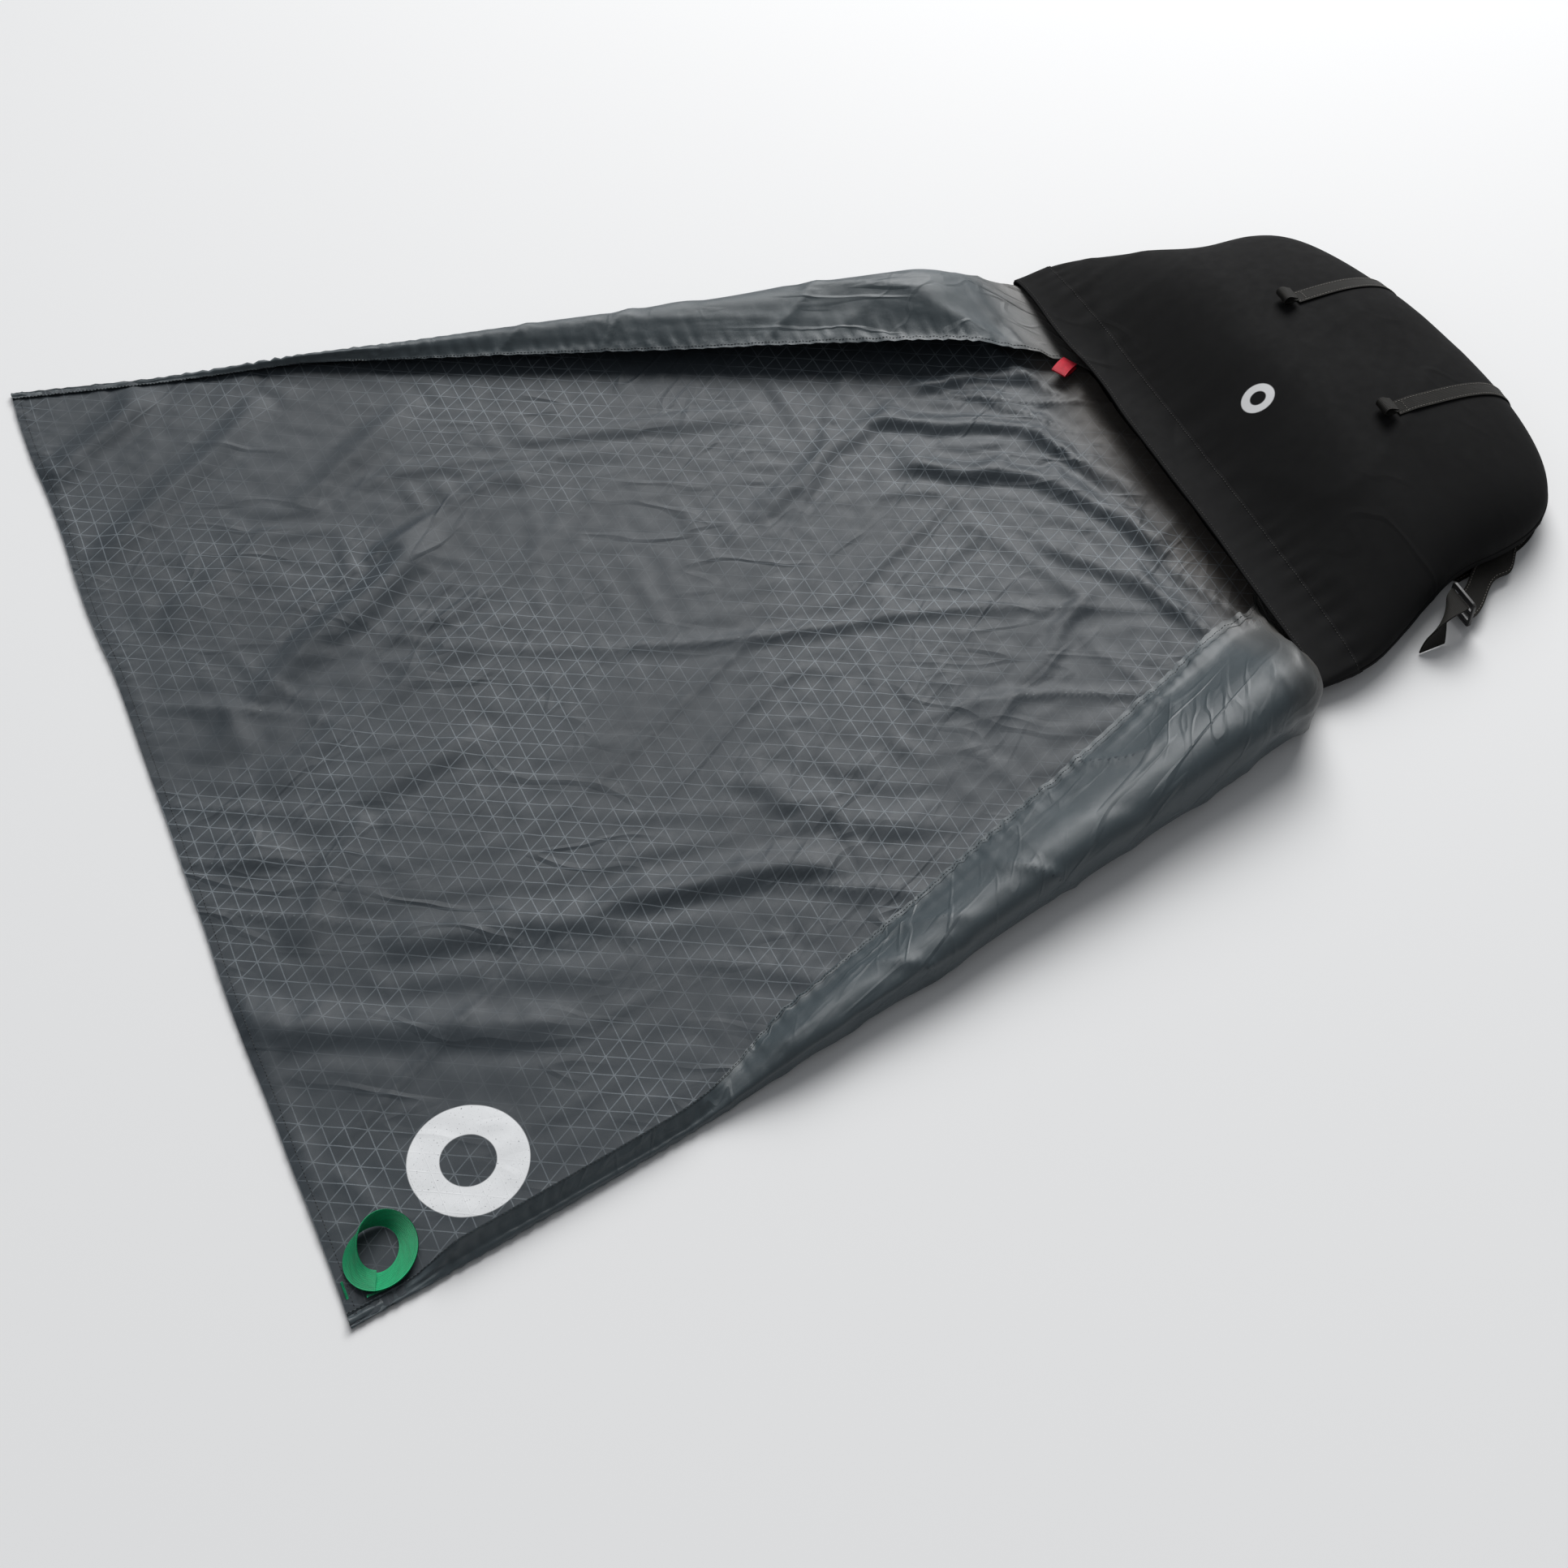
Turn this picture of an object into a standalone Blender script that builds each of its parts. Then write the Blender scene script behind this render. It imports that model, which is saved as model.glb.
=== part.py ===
"""Rope storage bag laid open on the ground: a round-ended sack whose mouth runs out into a wide tarp.

+X runs from the tarp's far edge towards the sack's closed end, +Y across it, +Z up, and the whole thing
lies on z = 0 with the origin under the middle of its bounding box. Distances called "along" are measured
from the tarp's far edge in the direction of +X.
"""
import math

import bmesh
import bpy
from mathutils import Matrix, Vector

# ---- driving dimensions, metres --------------------------------------------------------------------
TARP_LENGTH = 0.900          # far edge to the mouth of the sack
TARP_WIDTH = 1.010           # along the far edge
SACK_DEPTH = 0.305           # mouth to closed end
SACK_HALF_WIDTH = 0.270      # at the mouth
SACK_CENTRE_Y = -0.045       # the sack lies a little off the tarp's middle
SEAM_HEIGHT_MOUTH = 0.016    # side seam above the ground at the mouth
SEAM_HEIGHT_END = 0.022      # and at the closed end
HOOD_RISE_MOUTH = 0.012      # crown of the hood above its side seams, at the mouth
HOOD_RISE_PEAK = 0.066       # and over the middle of the sack
END_SKEW = 0.110             # the closed end reaches further on the near side, per metre across
BAND_WIDTH = 0.036           # hemmed band round the mouth
FOLD_ALONG = 0.360           # stowing fold of the tarp
FOLD_AXIS_HEIGHT = 0.030     # half the thickness of the folded packet
LIFT_ALONG = 0.840           # line about which the tarp is lifted, where the sewn throat begins
LIFT_CLEARANCE = 0.060       # the wings leave this free ahead of that line
CLOTH = 0.0015               # wing, hood and gusset cloth as modelled
FLOOR_CLOTH = 0.0025         # tarp floor with its creases
HEM_WIDTH = 0.008
NARROW_WEBBING = 0.015
STRAP_WEBBING = 0.025
WEBBING_THICKNESS = 0.0014
STRAP_THICKNESS = 0.0025
BASE_INSET = 0.028           # the base panel is this much smaller than the side seam all round
STRIP_SPACING = 0.156        # between the two webbing strips on the hood
GAP = 0.0004                 # clearance between touching pieces
HEM_GAP = 0.0010             # the same where two slanting edges meet

END_STANDOFF = 0.0095        # reach of the skewed end past the sack's depth
FAR_EDGE_X = -(TARP_LENGTH + SACK_DEPTH + END_STANDOFF) / 2
MOUTH_X = FAR_EDGE_X + TARP_LENGTH
LAST_ROW = 0.998             # the lofts stop just short of the outline's tip

SLATE = (0.085, 0.105, 0.118)
SHINY_SLATE = (0.115, 0.145, 0.160)
BLACK = (0.014, 0.014, 0.015)
BROWN_BLACK = (0.024, 0.021, 0.017)
GREEN = (0.005, 0.330, 0.130)
RED = (0.620, 0.010, 0.030)


# ---- scene helpers ---------------------------------------------------------------------------------
def clear_scene():
    for item in list(bpy.data.objects):
        bpy.data.objects.remove(item, do_unlink=True)


def new_collection(name):
    collection = bpy.data.collections.new(name)
    bpy.context.scene.collection.children.link(collection)
    return collection


def new_material(name, colour, roughness, metallic=0.0):
    material = bpy.data.materials.new(name)
    material.use_nodes = True
    shader = material.node_tree.nodes["Principled BSDF"]
    shader.inputs["Base Color"].default_value = (*colour, 1.0)
    shader.inputs["Roughness"].default_value = roughness
    shader.inputs["Metallic"].default_value = metallic
    material.diffuse_color = (*colour, 1.0)
    return material


clear_scene()
PARTS = new_collection("rope_storage_bag")
CUTTERS = new_collection("cutters")


def add_part(name, mesh, colour, roughness, smooth=True):
    """A named sub-part with its own material."""
    part = bpy.data.objects.new(name, mesh)
    PARTS.objects.link(part)
    mesh.materials.clear()
    mesh.materials.append(new_material(name + "_material", colour, roughness))
    if smooth:
        mesh.shade_smooth()
    return part


def pivot(name, place, parent=None):
    """An empty on a joint's axis that carries the pieces which turn with it."""
    empty = bpy.data.objects.new(name, None)
    PARTS.objects.link(empty)
    empty.parent = parent
    empty.location = Vector(place) - (parent_place(parent) if parent else Vector())
    return empty


def parent_place(item):
    place = Vector()
    while item:
        place += item.location
        item = item.parent
    return place


def hang_on(part, empty):
    """Parents a part to an empty and keeps it where it is."""
    part.parent = empty
    part.location = part.location - parent_place(empty)


def sheet(name, columns, rows, place, thickness, colour, roughness, offset=-1.0):
    """Cloth of the given thickness on the surface place(u, v), u and v from 0 to 1."""
    mesh = bpy.data.meshes.new(name)
    grid = bmesh.new()
    bmesh.ops.create_grid(grid, x_segments=columns, y_segments=rows, size=0.5)
    for vertex in grid.verts:
        vertex.co = place(vertex.co.x + 0.5, vertex.co.y + 0.5)
    grid.to_mesh(mesh)
    grid.free()
    part = add_part(name, mesh, colour, roughness)
    solid = part.modifiers.new("thickness", "SOLIDIFY")
    solid.thickness = thickness
    solid.offset = offset
    solid.use_even_offset = False
    return part


def box(name, size, place, colour, roughness):
    """A block of the given size, its centre at place."""
    mesh = bpy.data.meshes.new(name)
    block = bmesh.new()
    bmesh.ops.create_cube(block, size=1.0)
    bmesh.ops.scale(block, vec=size, verts=block.verts)
    block.to_mesh(mesh)
    block.free()
    part = add_part(name, mesh, colour, roughness, smooth=False)
    part.location = place
    return part


def lerp(a, b, t):
    return a + (b - a) * t


def smoothstep(t):
    t = min(max(t, 0.0), 1.0)
    return t * t * (3.0 - 2.0 * t)


# ---- tarp outline ----------------------------------------------------------------------------------
def near_fold_y(along):
    """Outer edge of the near wing, where the tarp is folded over."""
    return -TARP_WIDTH / 2 + 0.12 * along + 0.07 * along ** 2


def far_fold_y(along):
    return TARP_WIDTH / 2 - 0.303 * along


def near_wing(along):
    """Width, height and hem height of the near wing."""
    height = max(0.006, 0.075 * along)
    return max(0.012, 0.165 * (along - 0.10)), height, 0.35 * height + 0.002


def far_wing(along):
    height = max(0.006, 0.060 * along)
    return max(0.012, 0.125 * (along - 0.08)), height, 0.60 * height + 0.001


def wing_reach(width, height):
    """How far in from the fold the wing's cloth runs before its hem starts."""
    return max(height / 2 + 0.005, width - HEM_WIDTH - GAP)


def wing_section(width, height, hem_height, v):
    """Inward distance from the fold and height of the cloth's middle, v = 0 at the floor, 1 at the hem."""
    radius = height / 2 - CLOTH / 2
    centre = height / 2
    share = 0.62
    if v < share:
        angle = math.pi * v / share
        return centre - radius * math.sin(angle), centre - radius * math.cos(angle)
    run = (v - share) / (1.0 - share)
    inner = wing_reach(width, height)
    drop = smoothstep(run)
    return lerp(centre, inner, run), lerp(height - CLOTH / 2, hem_height, drop)


def wing(name, start, stop, fold_y, shape, inward, rows):
    """One wing of the tarp: the cloth turned up from the floor and back over it, open along its hem."""
    def place(u, v):
        along = lerp(start, stop, u)
        width, height, hem_height = shape(along)
        across, up = wing_section(width, height, hem_height, v if inward < 0 else 1.0 - v)
        return Vector((FAR_EDGE_X + along, fold_y(along) + inward * across, up))
    return sheet(name, rows, 13, place, CLOTH, SHINY_SLATE, 0.32, offset=0.0)


def wing_hem(name, start, stop, fold_y, shape, inward, rows):
    """The doubled, stitched edge of a wing."""
    def place(u, v):
        along = lerp(start, stop, u)
        width, height, hem_height = shape(along)
        inner = wing_reach(width, height) + HEM_GAP
        across = lerp(inner, inner + HEM_WIDTH, v if inward > 0 else 1.0 - v)
        return Vector((FAR_EDGE_X + along, fold_y(along) + inward * across, hem_height))
    return sheet(name, rows, 1, place, CLOTH, SHINY_SLATE, 0.40, offset=0.0)


def tarp_floor(name, start, stop, rows):
    """The flat cloth between the two wings."""
    def place(u, v):
        along = lerp(start, stop, u)
        low = near_fold_y(along) + near_wing(along)[1] / 2 + GAP
        high = far_fold_y(along) - far_wing(along)[1] / 2 - GAP
        return Vector((FAR_EDGE_X + along, lerp(low, high, v), FLOOR_CLOTH))
    return sheet(name, rows, 4, place, FLOOR_CLOTH, SLATE, 0.38)


def build_tarp(inner_pivot, outer_pivot):
    """The tarp in three stretches: outer and inner swing with their pivots, the throat is sewn to the sack."""
    stretches = (
        ("outer", HEM_WIDTH + GAP, FOLD_ALONG - GAP, FOLD_ALONG - GAP, 8, outer_pivot),
        ("inner", FOLD_ALONG + GAP, LIFT_ALONG - GAP, LIFT_ALONG - LIFT_CLEARANCE, 8, inner_pivot),
        ("throat", LIFT_ALONG + 0.003, TARP_LENGTH - GAP, TARP_LENGTH - GAP, 2, None),
    )
    for stretch, start, stop, wing_end, rows, carrier in stretches:
        pieces = [tarp_floor("tarp_floor_" + stretch, start, stop, rows)]
        for side, fold_y, shape, inward in (("near", near_fold_y, near_wing, 1), ("far", far_fold_y, far_wing, -1)):
            pieces.append(wing(f"{side}_wing_{stretch}", start, wing_end, fold_y, shape, inward, rows))
            pieces.append(wing_hem(f"{side}_hem_{stretch}", start, wing_end, fold_y, shape, inward, rows))
        if carrier:
            for piece in pieces:
                hang_on(piece, carrier)


def far_edge_hem():
    """The rolled hem along the tarp's far edge."""
    def place(u, v):
        return Vector((FAR_EDGE_X + lerp(0.0, HEM_WIDTH, u), lerp(-TARP_WIDTH / 2, TARP_WIDTH / 2, v), FLOOR_CLOTH))
    return sheet("far_edge_hem", 1, 8, place, FLOOR_CLOTH, SLATE, 0.42)


# ---- sack ------------------------------------------------------------------------------------------
def taper(t):
    """Share of the mouth's half width left at t, from 0 at the mouth to 1 at the closed end."""
    return (1.0 - 0.20 * smoothstep((t - 0.10) / 0.50)) * max(0.0, 1.0 - t ** 9) ** (1 / 2.2)


def taper_end(share):
    """The t at which taper() has fallen to share, by halving the interval."""
    low, high = 0.5, 1.0
    for _ in range(40):
        middle = (low + high) / 2
        low, high = (middle, high) if taper(middle) > share else (low, middle)
    return low


def seam_height(t):
    return lerp(SEAM_HEIGHT_MOUTH, SEAM_HEIGHT_END, smoothstep(t / 0.5))


def sack_x(t, across, depth=SACK_DEPTH):
    """Place along X of a point of the sack at t and at the distance across from its centre line."""
    return MOUTH_X + depth * t - END_SKEW * across * t ** 3


def hood_height(t, across):
    """Height of the hood at t and at the distance across from the sack's centre line."""
    rise = lerp(HOOD_RISE_MOUTH, HOOD_RISE_PEAK, smoothstep(t / 0.45)) * max(0.0, 1.0 - t ** 7) ** 0.5
    edge = min(1.0, abs(across) / (SACK_HALF_WIDTH * taper(t)))
    return seam_height(t) + rise * (1.0 - edge ** 2.4) ** 0.5


def eased(u, start, stop):
    """Rows drawn together towards the closed end."""
    return lerp(start, stop, 1.0 - (1.0 - u) ** 1.6)


def hood(name, start, stop, columns, rows):
    """Part of the upper panel, from start to stop along the sack."""
    def place(u, v):
        t = eased(u, start, stop)
        across = SACK_HALF_WIDTH * taper(t) * math.sin(math.pi * (v - 0.5))
        return Vector((sack_x(t, across), SACK_CENTRE_Y + across, hood_height(t, across)))
    return sheet(name, columns, rows, place, CLOTH, BLACK, 0.60)


def outline(t, side, inset=0.0):
    """A point of the sack's plan outline on the near (-1) or far (1) side."""
    across = side * (SACK_HALF_WIDTH - inset) * taper(t)
    return sack_x(t, across, SACK_DEPTH - inset), SACK_CENTRE_Y + across


def round_the_sack(u, start=0.0):
    """Walks the outline from the near mouth corner round the closed end to the far one."""
    if u < 0.5:
        return eased(2.0 * u, start, LAST_ROW), -1
    return eased(2.0 - 2.0 * u, start, LAST_ROW), 1


def gusset_point(t, side, v, out=0.0):
    """A point on the side wall, v = 0 at the base and 1 at the seam, pushed outwards by out."""
    low = outline(t, side, BASE_INSET - out)
    high = outline(t, side, -out)
    bulge = math.sin(math.pi * v) * 0.004
    x = lerp(low[0], high[0], math.sin(v * math.pi / 2)) + bulge * t
    y = lerp(low[1], high[1], math.sin(v * math.pi / 2)) + bulge * side * (1.0 - t ** 3)
    return Vector((x, y, lerp(0.0030, seam_height(t) - 0.0012, v)))


def gusset_end(across, v):
    """The t at which the side wall crosses the line at the distance across, at the height share v."""
    inset = BASE_INSET * (1.0 - math.sin(v * math.pi / 2))
    return taper_end(abs(across) / (SACK_HALF_WIDTH - inset))


def gusset(name, walk, columns):
    def place(u, v):
        t, side = walk(u)
        return gusset_point(t, side, v)
    return sheet(name, columns, 4, place, CLOTH, BLACK, 0.60)


def build_sack():
    band_end = BAND_WIDTH / SACK_DEPTH
    hood("mouth_band", 0.0, band_end, 2, 22)
    hood("hood_panel", band_end + GAP / SACK_DEPTH, LAST_ROW, 14, 22)
    gusset("side_gusset", lambda u: round_the_sack(u, band_end + 2 * GAP / SACK_DEPTH), 32)
    gusset("gusset_facing_near", lambda u: (lerp(0.0, band_end, u), -1), 2)
    gusset("gusset_facing_far", lambda u: (lerp(band_end, 0.0, u), 1), 2)
    base_panel()


def base_panel():
    """The underside, flat on the ground."""
    def place(u, v):
        t = eased(u, 0.0, LAST_ROW)
        near, far = outline(t, -1, BASE_INSET + 0.001), outline(t, 1, BASE_INSET + 0.001)
        return Vector((lerp(near[0], far[0], v), lerp(near[1], far[1], v), 0.0020))
    sheet("base_panel", 12, 4, place, 0.0020, BLACK, 0.60)


# ---- webbing strips on the hood --------------------------------------------------------------------
STRIP_START = 0.590          # the strips' free ends, as a share of the sack's depth
LOOP_LENGTH = 0.011
LOOP_RADIUS = 0.0044


def strip_point(centre_y, u, v):
    """Over the hood, round the closed end and down to the base, u along the strip and v across it."""
    across = centre_y + (v - 0.5) * NARROW_WEBBING
    last = taper_end(abs(across) / SACK_HALF_WIDTH) - 0.004
    if u <= 0.75:
        t = lerp(STRIP_START, last, 1.0 - (1.0 - u / 0.75) ** 1.5)
        step = 0.002
        slope_x = (hood_height(t, across) - hood_height(t - step, across)) / (step * SACK_DEPTH)
        slope_y = (hood_height(t, across + step) - hood_height(t, across - step)) / (2 * step)
        normal = Vector((-slope_x, -slope_y, 1.0)).normalized()
        spot = Vector((sack_x(t, across), SACK_CENTRE_Y + across, hood_height(t, across)))
        return spot + normal * 0.0010
    height_share = lerp(1.0, 0.12, (u - 0.75) / 0.25)
    wall = gusset_point(gusset_end(across, height_share), math.copysign(1, across), height_share)
    return Vector((wall.x + lerp(0.0030, 0.0012, (u - 0.75) / 0.25), SACK_CENTRE_Y + across, wall.z))


def webbing_strip(name, centre_y):
    return sheet(name, 20, 2, lambda u, v: strip_point(centre_y, u, v), WEBBING_THICKNESS, BROWN_BLACK, 0.75,
                 offset=1.0)


def strip_loop(name, centre_y, carrier):
    """The strip's free end, folded back on itself into a flat loop."""
    root = strip_point(centre_y, 0.0, 0.5)

    def place(u, v):
        across = root.y + (v - 0.5) * NARROW_WEBBING
        if u < 0.35:
            return Vector((root.x - 0.001 - LOOP_LENGTH * u / 0.35, across, root.z))
        if u < 0.65:
            angle = math.pi * (u - 0.35) / 0.30
            return Vector((root.x - 0.001 - LOOP_LENGTH - LOOP_RADIUS * math.sin(angle), across,
                           root.z + LOOP_RADIUS * (1.0 - math.cos(angle))))
        return Vector((root.x - 0.001 - LOOP_LENGTH * (1.0 - u) / 0.35, across, root.z + 2 * LOOP_RADIUS))
    hang_on(sheet(name, 16, 1, place, WEBBING_THICKNESS, BROWN_BLACK, 0.75), carrier)


# ---- shoulder strap and its buckle -----------------------------------------------------------------
STRAP_START = 0.560          # where the strap leaves the buckle, as a share of the sack's depth
BUCKLE_ALONG = 1.052
BUCKLE_Y = -0.2915
BUCKLE_LENGTH = 0.028
BUCKLE_WIDTH = 0.031
BUCKLE_THICKNESS = 0.0042
BUCKLE_BOTTOM = 0.0030
ANCHOR_HEIGHT = 0.0120       # the bar that the anchor webbing holds, and the axis the buckle tilts about
ANCHOR_REACH = 0.036
TAIL_HEIGHT = 0.0262         # where the free webbing leaves the upper bar
TAIL_START_X = FAR_EDGE_X + BUCKLE_ALONG - BUCKLE_THICKNESS / 2 - 0.0012


def ground_webbing(name, walk, columns):
    """Webbing lying on the ground just outside the base, along the walk."""
    def place(u, v):
        t, side = walk(u)
        inner = outline(t, side, BASE_INSET - 0.0015)
        outer = outline(t, side, BASE_INSET - 0.0015 - STRAP_WEBBING)
        return Vector((lerp(outer[0], inner[0], v), lerp(outer[1], inner[1], v), STRAP_THICKNESS))
    return sheet(name, columns, 1, place, STRAP_THICKNESS, BROWN_BLACK, 0.75)


def shoulder_strap():
    """The strap from the buckle round the closed end, and its folded, sewn-down end on the far side."""
    ground_webbing("shoulder_strap", lambda u: round_the_sack(u, STRAP_START), 40)
    ground_webbing("strap_anchor_far", lambda u: (lerp(STRAP_START - 0.004, STRAP_START - 0.12, u), 1), 3)


def cut_slots(part, slots, thickness):
    """Cuts rectangular slots through a plate whose thin side is along X."""
    for index, (height, size) in enumerate(slots):
        mesh = bpy.data.meshes.new(f"{part.name}_slot_{index}")
        block = bmesh.new()
        bmesh.ops.create_cube(block, size=1.0)
        bmesh.ops.scale(block, vec=(thickness * 3, size[0], size[1]), verts=block.verts)
        bmesh.ops.translate(block, vec=(0.0, 0.0, height), verts=block.verts)
        block.to_mesh(mesh)
        block.free()
        cutter = bpy.data.objects.new(mesh.name, mesh)
        CUTTERS.objects.link(cutter)
        cutter.hide_render = True
        cutter.display_type = "WIRE"
        cutter.location = part.location
        cutter.parent = part.parent
        cut = part.modifiers.new(f"slot_{index}", "BOOLEAN")
        cut.operation = "DIFFERENCE"
        cut.object = cutter


def ladder_lock(carrier):
    """The adjuster buckle: a plate with two slots, standing across the strap beside the sack."""
    centre = Vector((FAR_EDGE_X + BUCKLE_ALONG, BUCKLE_Y, BUCKLE_BOTTOM + BUCKLE_LENGTH / 2))
    part = box("ladder_lock", (BUCKLE_THICKNESS, BUCKLE_WIDTH, BUCKLE_LENGTH), centre, BLACK, 0.45)
    hang_on(part, carrier)
    slot = (STRAP_WEBBING + 0.0015, 0.0056)
    cut_slots(part, ((0.0062, slot), (-0.0050, slot)), BUCKLE_THICKNESS)


def buckle_anchor():
    """Short webbing sewn into the side seam, which holds the buckle by its lower bar."""
    def place(u, v):
        x = FAR_EDGE_X + BUCKLE_ALONG + BUCKLE_THICKNESS / 2 + 0.0012 + ANCHOR_REACH * u
        centre = lerp(BUCKLE_Y, BUCKLE_Y + 0.0165, smoothstep(u))
        return Vector((x, centre + (v - 0.5) * STRAP_WEBBING, ANCHOR_HEIGHT + 0.0035 * smoothstep(u)))
    sheet("buckle_anchor", 6, 1, place, WEBBING_THICKNESS, BROWN_BLACK, 0.75, offset=0.0)


def strap_tail(carrier):
    """Free webbing from the buckle down to the ground, twisting a quarter turn on the way."""
    start = Vector((TAIL_START_X, BUCKLE_Y, TAIL_HEIGHT))
    route = (start, start + Vector((-0.014, -0.005, 0.0)), start + Vector((-0.028, -0.013, -0.012)),
             start + Vector((-0.036, -0.020, -0.0248)))

    def place(u, v):
        segment = min(int(u * 3), 2)
        t = u * 3 - segment
        before = route[max(segment - 1, 0)]
        after = route[min(segment + 2, 3)]
        a, b = route[segment], route[segment + 1]
        spot = 0.5 * (2 * a + (b - before) * t + (2 * before - 5 * a + 4 * b - after) * t * t
                      + (3 * a - before - 3 * b + after) * t ** 3)
        turn = smoothstep(u) * math.pi / 2
        width = Vector((math.sin(turn), math.cos(turn) * 0.94, -0.2 * math.sin(2 * turn)))
        return spot + width.normalized() * (v - 0.5) * STRAP_WEBBING * 0.98
    hang_on(sheet("strap_tail", 12, 2, place, WEBBING_THICKNESS, BROWN_BLACK, 0.75, offset=0.0), carrier)


# ---- tie-in loops ----------------------------------------------------------------------------------
def ring_loop(name, base, toward, radius, tilt, colour, carrier):
    """A webbing loop with both ends sewn at base, standing on its edge in the direction toward."""
    heading = Vector(toward).normalized()
    sideways = Vector((0, 0, 1)).cross(heading)
    up = Matrix.Rotation(-tilt, 3, sideways) @ Vector((0, 0, 1))
    out = Matrix.Rotation(-tilt, 3, sideways) @ heading

    def place(u, v):
        angle = math.radians(lerp(14.0, 346.0, u))
        ring = out * radius * (1.0 - math.cos(angle)) + sideways * radius * math.sin(angle) * -1.0
        return Vector(base) + ring + up * (NARROW_WEBBING * (v - 0.5))
    hang_on(sheet(name, 28, 1, place, WEBBING_THICKNESS, colour, 0.55, offset=0.0), carrier)


GREEN_BASE = (FAR_EDGE_X + 0.024, -0.478, 0.0140)
GREEN_TOWARD = (0.35, 1.0, 0.0)
GREEN_TILT = math.radians(18.0)
RED_BASE = (MOUTH_X - 0.0045, 0.112, 0.0130)
RED_TOWARD = (-0.90, -0.43, 0.0)
RED_TILT = math.radians(4.0)
LOOP_RADIUS_TIE = 0.0215


def bar_tacks(carrier):
    """The dense stitches that hold the green loop in the tarp's corner."""
    hem_top = near_wing(0.0)[2] + CLOTH / 2
    for name, size, place in (
            ("bar_tack_green_edge", (0.014, 0.0022, 0.0006), (0.0245, -0.4900, hem_top)),
            ("bar_tack_green_end", (0.0022, 0.014, 0.0006), (0.0045, -0.4780, FLOOR_CLOTH))):
        tack = box(name, size, (FAR_EDGE_X + place[0], place[1], place[2] + GAP + size[2] / 2), GREEN, 0.6)
        hang_on(tack, carrier)


def build():
    lift = pivot("tarp_lift_pivot", (FAR_EDGE_X + LIFT_ALONG, SACK_CENTRE_Y, FLOOR_CLOTH / 2))
    fold = pivot("tarp_fold_pivot", (FAR_EDGE_X + FOLD_ALONG, 0.0, FOLD_AXIS_HEIGHT), lift)
    green = pivot("green_loop_pivot", GREEN_BASE, fold)
    red = pivot("red_loop_pivot", RED_BASE)
    buckle = pivot("buckle_pivot", (FAR_EDGE_X + BUCKLE_ALONG, BUCKLE_Y, ANCHOR_HEIGHT))
    tail = pivot("tail_pivot", (TAIL_START_X, BUCKLE_Y, TAIL_HEIGHT), buckle)

    build_tarp(lift, fold)
    hang_on(far_edge_hem(), fold)
    ring_loop("green_tie_in_loop", GREEN_BASE, GREEN_TOWARD, LOOP_RADIUS_TIE, GREEN_TILT, GREEN, green)
    bar_tacks(fold)
    build_sack()
    for side, sign in (("near", -1), ("far", 1)):
        centre_y = sign * STRIP_SPACING / 2
        webbing_strip("webbing_strip_" + side, centre_y)
        carrier = pivot(f"strip_loop_{side}_pivot", strip_point(centre_y, 0.0, 0.5))
        strip_loop("strip_loop_" + side, centre_y, carrier)
    ring_loop("red_tie_in_loop", RED_BASE, RED_TOWARD, LOOP_RADIUS_TIE, RED_TILT, RED, red)
    shoulder_strap()
    buckle_anchor()
    ladder_lock(buckle)
    strap_tail(tail)


build()
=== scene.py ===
"""Looks for the rope storage bag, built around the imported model.

+X runs from the tarp's far edge to the sack's closed end, +Y across, +Z up, all in metres. "along" is the
distance from the tarp's far edge, and t is a share of the sack's depth, 0 at its mouth and 1 at its closed
end. Cloth is worked out as grids of points, and each grid becomes a closed, thin mesh.
"""

import math

import bpy
import numpy as np
from mathutils import Matrix, Vector


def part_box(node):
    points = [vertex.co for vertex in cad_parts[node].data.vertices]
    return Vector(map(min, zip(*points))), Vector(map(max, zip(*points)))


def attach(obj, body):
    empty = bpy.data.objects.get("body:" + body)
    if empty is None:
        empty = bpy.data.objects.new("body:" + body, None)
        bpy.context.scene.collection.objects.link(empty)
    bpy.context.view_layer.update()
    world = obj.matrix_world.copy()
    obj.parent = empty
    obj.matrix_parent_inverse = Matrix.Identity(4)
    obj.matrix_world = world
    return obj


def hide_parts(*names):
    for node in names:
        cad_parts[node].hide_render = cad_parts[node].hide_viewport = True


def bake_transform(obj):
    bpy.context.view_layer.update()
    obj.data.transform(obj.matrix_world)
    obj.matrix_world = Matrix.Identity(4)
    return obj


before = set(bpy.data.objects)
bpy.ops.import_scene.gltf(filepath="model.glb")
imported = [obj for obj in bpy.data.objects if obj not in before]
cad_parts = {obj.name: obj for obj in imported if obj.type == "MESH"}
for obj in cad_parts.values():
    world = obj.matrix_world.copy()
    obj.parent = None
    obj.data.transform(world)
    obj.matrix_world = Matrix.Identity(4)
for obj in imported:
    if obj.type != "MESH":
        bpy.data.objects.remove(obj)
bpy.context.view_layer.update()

# ---- dimensions shared with the solids -------------------------------------------------------------
FAR_EDGE_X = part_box("far_edge_hem")[0].x
MOUTH_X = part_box("mouth_band")[0].x
TARP_LENGTH = MOUTH_X - FAR_EDGE_X
TARP_WIDTH = 1.010
SACK_DEPTH = 0.305
SACK_HALF_WIDTH = 0.270
SACK_CENTRE_Y = -0.045
SEAM_HEIGHT_MOUTH = 0.016
SEAM_HEIGHT_END = 0.022
HOOD_RISE_MOUTH = 0.012
HOOD_RISE_PEAK = 0.066
END_SKEW = 0.110             # the closed end reaches further on the near side, per metre across
BAND_WIDTH = 0.036
BASE_INSET = 0.028
NARROW_WEBBING = 0.015
STRAP_WEBBING = 0.025
LAST_ROW = 0.998             # t of the last row of the sack's grids

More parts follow.
